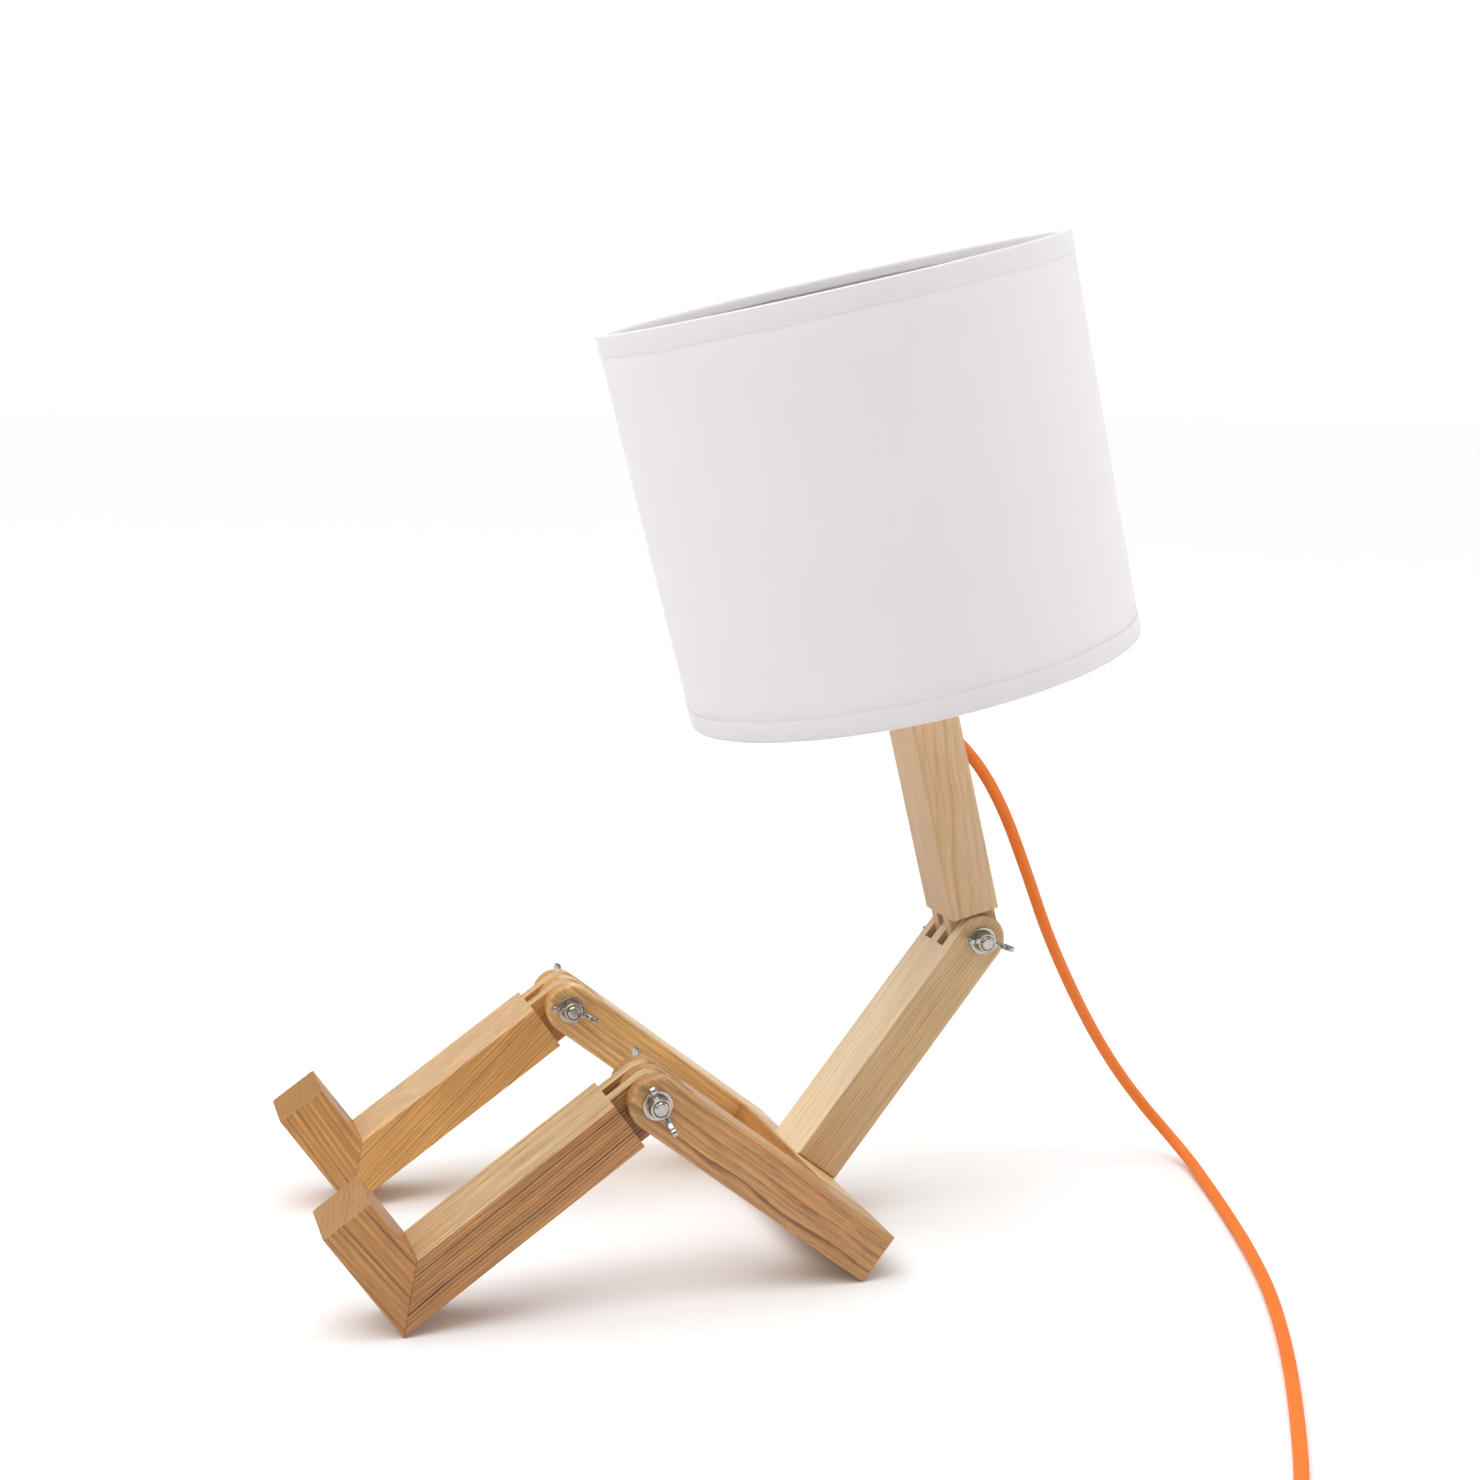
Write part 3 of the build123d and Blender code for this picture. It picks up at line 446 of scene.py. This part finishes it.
def strap():
    """Band round the outline of the turns that cross the strap's place, pressed flat below them."""
    crossings = []
    for a, b in zip(mains_path, mains_path[1:]):
        first, second = ((p - coil_middle).dot(strap_side) for p in (a, b))
        if first * second <= 0 and (a - coil_middle).dot(strap_out) > 0:
            crossings.append(a.lerp(b, abs(first) / max(abs(first) + abs(second), 1e-9)))
    rim = []
    for spot in crossings:
        for i in range(strap_steps):
            angle = tau * i / strap_steps
            out = (spot - coil_middle).dot(strap_out)
            rim.append((out + cord_r * cos(angle), spot.z + cord_r * sin(angle)))
    shape, row = bmesh.new(), []
    for i in geometry.convex_hull_2d(rim):
        out, z = rim[i]
        corner = coil_middle + strap_out * out - strap_side * strap_width / 2
        row.append(shape.verts.new(corner + Vector((0, 0, max(z, strap_t)))))
    edge = [shape.edges.new(pair) for pair in zip(row, row[1:] + row[:1])]
    across = bmesh.ops.extrude_edge_only(shape, edges=edge)["geom"]
    bmesh.ops.translate(shape, verts=[v for v in across if isinstance(v, bmesh.types.BMVert)],
                        vec=strap_side * strap_width)
    bmesh.ops.recalc_face_normals(shape, faces=shape.faces)
    bmesh.ops.solidify(shape, geom=shape.faces[:], thickness=-strap_t)
    for vert in shape.verts:
        vert.co.z = max(vert.co.z, strap_lift)
    for face in shape.faces:
        face.smooth = True
    return shape


velvet = Finish("strap_velvet", shown(70, 70, 74), 0.85)
pile = velvet.noise(velvet.local(Matrix.Identity(4)), 3.0, 3.0)
velvet.set(Base_Color=velvet.mix(pile, shown(52, 52, 56), shown(92, 92, 97)), Sheen_Weight=0.4)
velvet.bump(pile, 0.3 * mm)
band = piece("coil_strap", strap(), "pelvis_and_torso", velvet, "cord_braid")
band.modifiers.new("flat_faces", "WEIGHTED_NORMAL")


# ---------------------------------------------------------------- ash bars
def ash(name, place, pith, ring, pale, dark, top=None, tilt=(0, 0), depth=1.0, wave=2.0, fleck=1.0,
        end=(0.8, 0.72, 0.62), calm=None):
    """Lacquered ash with rings round a pith that runs along the bar's X, off its middle by (y, z) mm.

    ring is the width of a year in mm, tilt turns the grain about Y and Z in degrees, depth is how strong the
    rings are and wave how far they sway in mm. top is the colour of the face that looks along the bar's Z:
    partly that face's own figure, partly painted light and shade for how that face is lit. end tints the sawn
    ends, fleck is how strong the short fibres are, and from calm[0] to calm[1] mm up the bar the rings fade to
    calm[2]."""
    finish = Finish(name, pale, 0.45)
    grain = place @ Matrix.Rotation(radians(tilt[0]), 4, "Y") @ Matrix.Rotation(radians(tilt[1]), 4, "Z")
    where = finish.local(grain)

    # distance from the swaying pith, in years
    swell = finish.node("TexNoise", finish.stretched(where, 0.011, 0.035, 0.035), None, 1.0, 2.0, 0.45, out=1)
    wavy = finish.node("VectorMath", swell, (0, 2 * wave, 2 * wave), where, operation="MULTIPLY_ADD")
    off = finish.stretched(finish.node("VectorMath", wavy, (0, *pith), operation="SUBTRACT"), 0, 1, 1)
    reach = finish.node("VectorMath", off, operation="LENGTH", out="Value")
    fibre = finish.noise(finish.stretched(where, 0.03, 0.8, 0.8), 1.0, 4.0, 0.7)
    age = finish.math("MULTIPLY_ADD", fibre, 0.6 * fleck, finish.math("DIVIDE", reach, ring))

    # each year's dark early wood, its open pores, and how far they show
    part, year = finish.math("FRACT", age), finish.math("FLOOR", age)
    vigour = finish.node("TexWhiteNoise", None, year, noise_dimensions="1D")
    early = finish.ramp(part, (0.0, 0.8), (0.12, 1.0), (0.34, 0.4), (0.7, 0.08), (0.9, 0.0), (1.0, 0.8))
    line = finish.math("MULTIPLY", early, finish.ramp(vigour, (0.0, 0.2), (0.6, 0.6), (1.0, 1.0)))
    streak = finish.noise(finish.stretched(where, 0.012, 0.4, 0.4), 1.0, 3.0, 0.55)
    short = finish.noise(finish.stretched(where, 0.11, 3.2, 3.2), 1.0, 1.0)
    pore = finish.ramp(short, (0.56, 0.0), (0.68, 1.0))
    pores = finish.math("MULTIPLY", pore, finish.ramp(line, (0.1, 0.0), (0.6, 1.0)))
    share = finish.math("MULTIPLY", line, finish.ramp(streak, (0.3, 0.6), (0.7, 1.0)))
    if calm:
        height_up = finish.split(finish.local(place))[2]
        fade = finish.node("MapRange", height_up, *calm[:2], 1.0, calm[2], interpolation_type="SMOOTHSTEP")
        share = finish.math("MULTIPLY", share, fade)
    sawn = finish.ramp(finish.math("ABSOLUTE", finish.facing(place.col[0].to_3d())), (0.6, 0.0), (0.85, 1.0))
    upper = finish.ramp(finish.facing(place.col[2].to_3d()), (0.6, 0.0), (0.8, 1.0))
    on_ends, on_top = finish.ramp(sawn, (0.0, 1.0), (1.0, 0.35)), finish.ramp(upper, (0.0, 1.0), (1.0, 0.4))
    plain = finish.math("MULTIPLY", on_ends, on_top)
    share = finish.math("MULTIPLY", share, finish.math("MULTIPLY", plain, depth), clamp=True)

    # colours: the face's colour, with painted light and shade on the face along Z, then rings, pores, fibres, warm
    # patches and sawn ends
    # painted light and shade: the face that looks along the bar's Z takes the top colour, for how it is lit as
    # well as for its figure
    body = finish.mix(upper, pale, top or pale)
    tone = finish.mix(share, body, dark)
    tone = finish.mix(finish.math("MULTIPLY", pores, 0.42 * depth), tone, tuple(c * 0.45 for c in dark))
    shade_of = finish.ramp(fibre, (0.34, 1 - 0.3 * fleck), (0.66, 1 + 0.22 * fleck))
    tone = finish.mix(1.0, tone, finish.mix(0.0, shade_of, (1, 1, 1)), "MULTIPLY")
    broad = finish.noise(finish.stretched(where, 0.018, 0.06, 0.06), 1.0, 2.0)
    patch = finish.ramp(broad, (0.35, 0.0), (0.7, 0.8))
    tone = finish.mix(patch, tone, finish.mix(1.0, tone, (0.93, 0.85, 0.75), "MULTIPLY"))
    tone = finish.mix(sawn, tone, finish.mix(1.0, tone, end, "MULTIPLY"))

    height = finish.math("SUBTRACT", finish.math("MULTIPLY", fibre, 0.5), finish.math("ADD", share, pores))
    gloss = finish.ramp(fibre, (0.3, 0.4), (0.7, 0.56))
    finish.set(Base_Color=tone, Roughness=gloss, Coat_Weight=0.12, Coat_Roughness=0.3, IOR=1.5)
    return finish.bump(height, 0.06 * mm, 0.6)


hip_place = placed(hip_middle, Vector((0, 1, 0)), thigh_up)
shin_places = {side: placed(knee, shin_dir, shin_up) for side, knee in sides.items()}
foot_places = {side: placed(knee + shin_dir * shin_length, shin_up, shin_dir) for side, knee in sides.items()}
thigh_places = {side: placed(knee, thigh_dir, thigh_up) for side, knee in sides.items()}
# each bar's top colour is partly painted light and shade, for how its face along Z is lit
bars = {
    "shin_near": ash("ash_shin_near", shin_places["near"], (45, -50), 1.3,
                     shown(194, 138, 80), shown(72, 35, 13), top=shown(209, 175, 129),
                     tilt=(0.4, 0.5), depth=1.5, wave=1.5),
    "foot_near": ash("ash_foot_near", foot_places["near"], (30, 110), 2.2,
                     shown(190, 135, 74), shown(104, 60, 26),
                     tilt=(-3.0, 1.0), depth=0.95, end=(0.9, 1.05, 1.35)),
    "thigh_near": ash("ash_thigh_near", thigh_places["near"], (12, 60), 3.4,
                      shown(199, 150, 95), shown(128, 74, 36), top=shown(199, 155, 100),
                      tilt=(1.2, 1.4), wave=6.0, calm=(-3.0, 5.0, 0.35), depth=1.3),
    "shin_far": ash("ash_shin_far", shin_places["far"], (-25, 60), 1.3,
                    shown(220, 165, 93), shown(150, 92, 44), top=shown(216, 180, 136),
                    tilt=(9.0, 0.0), depth=0.9, wave=1.2, fleck=0.7),
    "foot_far": ash("ash_foot_far", foot_places["far"], (20, 110), 2.4,
                    shown(206, 150, 84), shown(116, 68, 30),
                    tilt=(3.0, 1.0), depth=0.95, end=(0.72, 0.72, 0.68)),
    "thigh_far": ash("ash_thigh_far", thigh_places["far"], (30, -60), 3.0,
                     shown(231, 184, 120), shown(156, 102, 48), top=shown(240, 212, 170),
                     tilt=(1.0, 1.0), depth=0.8, wave=5.0),
    # painted shade and light: the block's sides take a deep orange for the shaded recess between the thighs, and
    # its top a paler colour where light falls
    "hip_block": ash("ash_hip_block", hip_place, (-30, 20), 3.0,
                     shown(180, 124, 64), shown(136, 84, 38), top=shown(224, 187, 136),
                     tilt=(2.0, -2.0), depth=0.5, fleck=0.6),
    "torso": ash("ash_torso", placed(neck_pivot, thigh_up, -thigh_dir), (48, -52), 1.1,
                 shown(215, 181, 136), shown(168, 126, 80), top=shown(241, 217, 182),
                 tilt=(0.4, 0.4), depth=0.75, wave=1.0, fleck=0.4),
    "neck": ash("ash_neck", placed(neck_pivot, neck_dir, -neck_back), (30, 22), 1.8,
                shown(217, 183, 143), shown(174, 130, 84), top=shown(209, 172, 127),
                tilt=(0.8, -2.2), depth=0.6, wave=2.5, fleck=0.4),
}
for node, finish in bars.items():
    eased(node, finish, 0.3 * mm)
dowel_wood = ash("beech_dowels", placed(middle_knee, Vector((0, 1, 0)), thigh_up), (20, 10), 1.8,
                 shown(214, 172, 126), shown(166, 120, 78), depth=0.5)


# ---------------------------------------------------------------- metal
def metal(name, colour, roughness, scuff=0.1, pit=0.02):
    """Plated or bare metal with fine scuffs and a trace of dull film."""
    finish = Finish(name, colour, roughness, 1.0)
    where = finish.local(Matrix.Identity(4))
    scratch = finish.noise(finish.stretched(where, 0.7, 5.0, 1.4), 1.0, 4.0, 0.65)
    film = finish.noise(where, 0.35, 3.0)
    dull = finish.math("MULTIPLY_ADD", finish.ramp(scratch, (0.45, 0.0), (0.8, 1.0)), scuff, roughness)
    finish.set(Roughness=finish.math("MULTIPLY_ADD", film, scuff * 0.6, dull),
               Base_Color=finish.mix(finish.ramp(film, (0.3, 0.0), (0.8, 1.0)), colour,
                                     tuple(c * 0.82 for c in colour)))
    return finish.bump(finish.math("ADD", scratch, film), pit * mm, 0.5)


zinc = metal("bright_zinc", (0.5, 0.475, 0.44), 0.15)
steel = metal("screw_steel", (0.62, 0.61, 0.6), 0.3, 0.15)
brass = metal("pressed_brass", (0.83, 0.62, 0.29), 0.22)
nickel = metal("nickel_plate", (0.74, 0.71, 0.66), 0.2)

for hinge in ("knee_near", "knee_far", "neck"):
    forged(f"{hinge}_bolt", zinc)
    forged(f"{hinge}_wing_nut", zinc)
    eased(f"{hinge}_washers", zinc, 0.25 * mm)


# ---------------------------------------------------------------- moulded plastic
def moulded(name, colour, roughness, grain=0.35, depth=0.04, coat=0.0):
    """Moulded plastic with a fine spark-eroded grain and a slightly uneven colour."""
    finish = Finish(name, colour, roughness)
    where = finish.local(Matrix.Identity(4))
    pebble = finish.noise(where, 1 / grain, 3.0, 0.6)
    cloud = finish.noise(where, 0.05, 2.0)
    finish.set(Base_Color=finish.mix(finish.ramp(cloud, (0.3, 0.0), (0.75, 1.0)), colour,
                                     tuple(c * 0.94 for c in colour)),
               Roughness=finish.math("MULTIPLY_ADD", pebble, 0.14, roughness - 0.07), Coat_Weight=coat)
    return finish.bump(pebble, depth * mm, 0.6)


holder_white = moulded("holder_plastic", shown(240, 238, 234), 0.42)
heat_proof = moulded("insert_plastic", shown(226, 222, 210), 0.55, 0.5, 0.06)
cable_skin = moulded("wire_plastic", shown(120, 66, 38), 0.4)
switch_white = moulded("switch_plastic", shown(222, 220, 216), 0.34, 0.3, 0.025, 0.1)
rocker_white = moulded("rocker_plastic", shown(210, 208, 205), 0.24, 0.4, 0.015, 0.2)
plug_white = moulded("plug_plastic", shown(220, 218, 214), 0.46, 0.4, 0.05)
pin_black = moulded("sleeve_plastic", shown(42, 42, 44), 0.4)

for node, finish, ease in (("holder_cap", holder_white, 0.6), ("shade_retaining_ring", holder_white, 0.5),
                           ("holder_insert", heat_proof, 0.3), ("switch_base", switch_white, 0.3),
                           ("switch_cover", switch_white, 0.3), ("switch_rocker", rocker_white, 0.5),
                           ("plug_body", plug_white, 0.3), ("plug_strain_relief", plug_white, 0.25),
                           ("plug_pins", nickel, 0.15), ("plug_pin_sleeves", pin_black, 0.08)):
    eased(node, finish, ease * mm)

# ---------------------------------------------------------------- threads of the lampholder
# mm, with heights above the neck pivot
cap_top, skirt_top = 152, 188
shell_foot, shell_top = 160.2, 185.2
skirt_r, skirt_inner_r, flange_r, lip_r = 19.5, 17.7, 22.5, 14.4
rim_t, soft_edge = 2, 0.4                   # thickness of the flange and the lip, and their rounding
skirt_pitch, lamp_pitch, thread_wave = 2.5, 3.62, 0.28
skirt_row, skirt_rows = 0.3, 112            # height of a row of the skirt's faces, and how many


def skirt_thread(angle, r, z):
    """Moulded thread on the straight part of the skirt, for the shade's ring."""
    deep = thread_wave * (1 - cos(tau * z / skirt_pitch - angle))
    on_thread = abs(r - skirt_r) < 0.1 and cap_top + rim_t + soft_edge < z < skirt_top - soft_edge
    return (r - deep if on_thread else r), z


skirt = [(skirt_inner_r, cap_top), (flange_r - soft_edge, cap_top), (flange_r, cap_top + soft_edge),
         (flange_r, cap_top + rim_t - soft_edge), (flange_r - soft_edge, cap_top + rim_t)]
skirt += [(skirt_r, cap_top + rim_t + skirt_row * i) for i in range(skirt_rows)]
skirt += [(skirt_r - soft_edge, skirt_top), (lip_r + soft_edge, skirt_top), (lip_r, skirt_top - soft_edge),
          (lip_r, skirt_top - rim_t + soft_edge), (lip_r + soft_edge, skirt_top - rim_t),
          (skirt_inner_r, skirt_top - rim_t)]
piece("lampholder_skirt", turned(shade_place, skirt, 144, skirt_thread), "neck_and_shade", holder_white,
      "holder_plastic", "holder_skirt")


def lamp_thread(angle, r, z):
    """Rolled thread for a lamp cap."""
    return r - thread_wave * (1 - cos(tau * z / lamp_pitch - angle)), z


shell_r, shell_outer_r, shell_steps = 13.3, 13.8, 60
rises = [shell_foot + (shell_top - shell_foot) * i / shell_steps for i in range(shell_steps + 1)]
shell = [(shell_r, z) for z in rises]
shell += [(13.65, shell_top + 0.05)]        # its rounded edge
shell += [(shell_outer_r, z) for z in reversed(rises)]
piece("rolled_thread_shell", turned(shade_place, shell, 120, lamp_thread), "neck_and_shade", brass, "brass",
      "holder_thread_shell")

# ---------------------------------------------------------------- shade
# mm, with heights above the neck pivot
shade_r, shade_flare = 98, 2                # outside radius at the foot, and how much more at the rim
shade_foot, shade_rim = 120, 288.5
seam_angle, seam_half, seam_t = radians(48), radians(3.6), 0.4
hem_height = 8.5
drum_steps = 288                            # points round the drum


def linen(name, colour, shadow, thread, depth, sheen):
    """Close plain weave on the drum, with slubs along both sets of threads."""
    finish = Finish(name, colour, 0.85)
    where = finish.local(shade_place)
    x, y, z = finish.split(where)
    around = finish.math("MULTIPLY", finish.math("ARCTAN2", y, x), shade_r)
    both = finish.node("CombineXYZ", around, z)
    hump = [finish.math("SINE", finish.math("MULTIPLY", way, tau / thread)) for way in (around, z)]
    weave = finish.math("MULTIPLY", *hump)
    slub = [finish.noise(finish.stretched(both, *way), 1.0, 3.0, 0.6)
            for way in ((0.05, 2.2, 1), (2.2, 0.05, 1))]
    slubs = finish.math("ADD", *slub)
    cloud = finish.noise(finish.stretched(both, 0.02, 0.02, 1), 1.0, 2.0)
    tone = finish.mix(finish.ramp(slubs, (0.42, 0.0), (0.62, 0.35)), colour, shadow)
    tone = finish.mix(finish.ramp(cloud, (0.3, 0.0), (0.8, 0.25)), tone, shadow)
    finish.set(Base_Color=tone, Sheen_Weight=sheen, Sheen_Roughness=0.5, IOR=1.35, Subsurface_Weight=0.35,
               Subsurface_Radius=(1, 1, 1), Subsurface_Scale=3 * mm)
    return finish.bump(finish.math("MULTIPLY_ADD", weave, 0.3, slubs), depth * mm, 0.5)


def drum_wave(angle, r, z):
    """Slight unevenness of a hand-rolled drum, and its lapped seam at the back."""
    seam = seam_t if abs(angle - seam_angle) < seam_half else 0.0
    return r + seam + 0.1 * sin(3 * angle + z / 60) + 0.07 * sin(7 * angle - z / 35), z


def drum(inward, thickness, inset, rows=12):
    """Wall of the drum, so far inside its outside and with its edges so far in from the rims."""
    span = shade_rim - shade_foot - 2 * inset
    steps = [i / rows for i in range(rows + 1)]
    out = [(shade_r - inward + shade_flare * t, shade_foot + inset + span * t) for t in steps]
    inside = [(r - thickness, z) for r, z in reversed(out)]
    return turned(shade_place, out + inside, drum_steps, drum_wave)


def hem(edge, up, r):
    """Tape folded round an edge of that radius and its wire; up is 1 at the foot and -1 at the rim."""
    fold = [(0.2 + 0.1 * up, 8.5), (0.3 + 0.1 * up, 8.2), (0.3, 4.0), (0.3, 1.2), (0.05, 0.1),
            (-0.8, -0.35), (-2.7, -0.45), (-4.2, -0.2), (-4.8, 0.5), (-4.95, 1.8), (-4.95, 4.4),
            (-4.7, 4.6), (-4.5, 4.4), (-4.5, 1.8), (-4.0, 0.4), (-2.7, 0.0), (-0.2, 0.02),
            (0.02, 0.4), (0.02, 4.0), (0.1 * up, 8.4)]

    def uneven(angle, x, z):
        """The drum's unevenness, and a free edge that isn't quite straight."""
        r_here, _ = drum_wave(angle, x, z)
        depth = (z - edge) * up
        pull = 0.16 * sin(11 * angle) + 0.1 * sin(23 * angle + 1)
        return r_here, z + up * pull * max(depth, 0) / hem_height

    return turned(shade_place, [(r + dr, edge + up * dz) for dr, dz in fold], drum_steps, uneven)


cotton = linen("shade_cotton", shown(253, 247, 250), shown(240, 232, 235), 0.55, 0.05, 0.25)
tape = linen("hem_tape", shown(253, 248, 250), shown(242, 236, 239), 0.4, 0.06, 0.25)
lining = moulded("lining_film", shown(252, 250, 251), 0.35, 1.2, 0.02)
lining.set(Subsurface_Weight=0.35, Subsurface_Radius=(1, 1, 1), Subsurface_Scale=3 * mm)
white_coat = moulded("white_wire_coat", shown(236, 236, 236), 0.3, 0.8, 0.03)

hems = [piece("hem_bottom", hem(shade_foot, 1, shade_r), "neck_and_shade", tape, "hem_fabric",
              "shade_hem_bottom"),
        piece("hem_top", hem(shade_rim, -1, shade_r + shade_flare), "neck_and_shade", tape, "hem_fabric",
              "shade_hem_top")]
cloth = piece("shade_cloth", drum(0, 0.45, 0.05), "neck_and_shade", cotton, "shade_fabric", "shade_skin")
film = piece("shade_lining", drum(0.5, 0.5, 0.1), "neck_and_shade", lining, "shade_fabric")


# ---------------------------------------------------------------- CAD pieces that keep their own shape
def dress(finish, *nodes):
    """Gives CAD nodes a finish."""
    for node in nodes:
        mesh = frame["nodes"][node].data
        mesh.materials.clear()
        mesh.materials.append(finish.material)


dress(dowel_wood, "hip_dowels", "heel_dowels_near", "heel_dowels_far")
dress(steel, "torso_screws", "switch_screws", "holder_nipple")
dress(brass, "holder_centre_contact", "holder_terminals", "switch_contacts")
dress(cable_skin, "holder_wires")
dress(white_coat, "shade_spider", "shade_top_wire")
core_braid = Finish("braid_in_neck", orange, 0.62)
rib = core_braid.noise(core_braid.local(shade_place), 1.6, 3.0)
core_braid.set(Base_Color=core_braid.mix(rib, orange, darker_and_crevice_shade_orange)).bump(rib, 0.2 * mm)
dress(core_braid, "cord_in_neck")


# ---------------------------------------------------------------- floor, lights and world
floor_radius = 60           # metres, so that its edge is out of sight
floor = bpy.data.objects.new("floor", bpy.data.meshes.new("floor"))
ground = bmesh.new()
bmesh.ops.create_circle(ground, cap_ends=True, cap_tris=False, segments=96, radius=floor_radius)
ground.to_mesh(floor.data)
ground.free()
bpy.context.collection.objects.link(floor)
paper = Finish("studio_paper", (0.96, 0.96, 0.96), 0.8)
grit = paper.noise(paper.local(Matrix.Identity(4)), 0.8, 3.0)
paper.set(Roughness=paper.ramp(grit, (0.0, 0.74), (1.0, 0.86)), Specular_IOR_Level=0.1)
floor.data.materials.append(paper.material)


def softbox(name, place, target, size, power):
    """White panel light that faces a target; metres and watts."""
    data = bpy.data.lights.new(name, "AREA")
    data.shape, data.size, data.size_y, data.energy = "RECTANGLE", *size, power
    lamp = bpy.data.objects.new(name, data)
    lamp.location = place
    lamp.rotation_euler = (Vector(target) - Vector(place)).to_track_quat("-Z", "Y").to_euler()
    bpy.context.collection.objects.link(lamp)


softbox("overhead", place=(-0.3, -0.6, 1.6), target=(0.05, 0, 0.3), size=(1.2, 1.2), power=5)
softbox("left_side", place=(-1.9, -0.5, 0.8), target=(0, 0, 0.2), size=(0.7, 1.2), power=2.5)
softbox("right_side", place=(1.9, -0.5, 0.8), target=(0, 0, 0.3), size=(0.7, 1.2), power=9)

# broad light from above, soft as an overcast sky
sky_light = bpy.data.objects.new("sky_light", bpy.data.lights.new("sky_light", "SUN"))
sky_light.data.energy, sky_light.data.angle = 2.0, radians(80)
sky_light.rotation_euler = Vector((-0.3, 0.1, 1)).to_track_quat("Z", "Y").to_euler()
bpy.context.collection.objects.link(sky_light)

# a room that gets lighter from the floor upwards lights the lamp, in front of a plain white backdrop
floor_grey, floor_at = (0.12, 0.12, 0.125, 1), 0.02
white, ceiling_at = (1, 1, 1, 1), 0.75
room_strength, backdrop_strength = 0.55, 1.02

world = bpy.data.worlds.new("studio")
bpy.context.scene.world = world
world.use_nodes = True
tree = world.node_tree
tree.nodes.clear()
height = tree.nodes.new("ShaderNodeSeparateXYZ")
tree.links.new(tree.nodes.new("ShaderNodeTexCoord").outputs["Generated"], height.inputs[0])
fade = tree.nodes.new("ShaderNodeValToRGB")
tree.links.new(height.outputs["Z"], fade.inputs[0])
low, high = fade.color_ramp.elements
low.position, low.color = floor_at, floor_grey
high.position, high.color = ceiling_at, white
room, backdrop = tree.nodes.new("ShaderNodeBackground"), tree.nodes.new("ShaderNodeBackground")
tree.links.new(fade.outputs[0], room.inputs["Color"])
room.inputs["Strength"].default_value = room_strength
backdrop.inputs["Color"].default_value = white
backdrop.inputs["Strength"].default_value = backdrop_strength
both, rays = tree.nodes.new("ShaderNodeMixShader"), tree.nodes.new("ShaderNodeLightPath")
tree.links.new(rays.outputs["Is Camera Ray"], both.inputs[0])
tree.links.new(room.outputs[0], both.inputs[1])
tree.links.new(backdrop.outputs[0], both.inputs[2])
tree.links.new(both.outputs[0], tree.nodes.new("ShaderNodeOutputWorld").inputs["Surface"])

bpy.context.scene.view_settings.view_transform = "Standard"
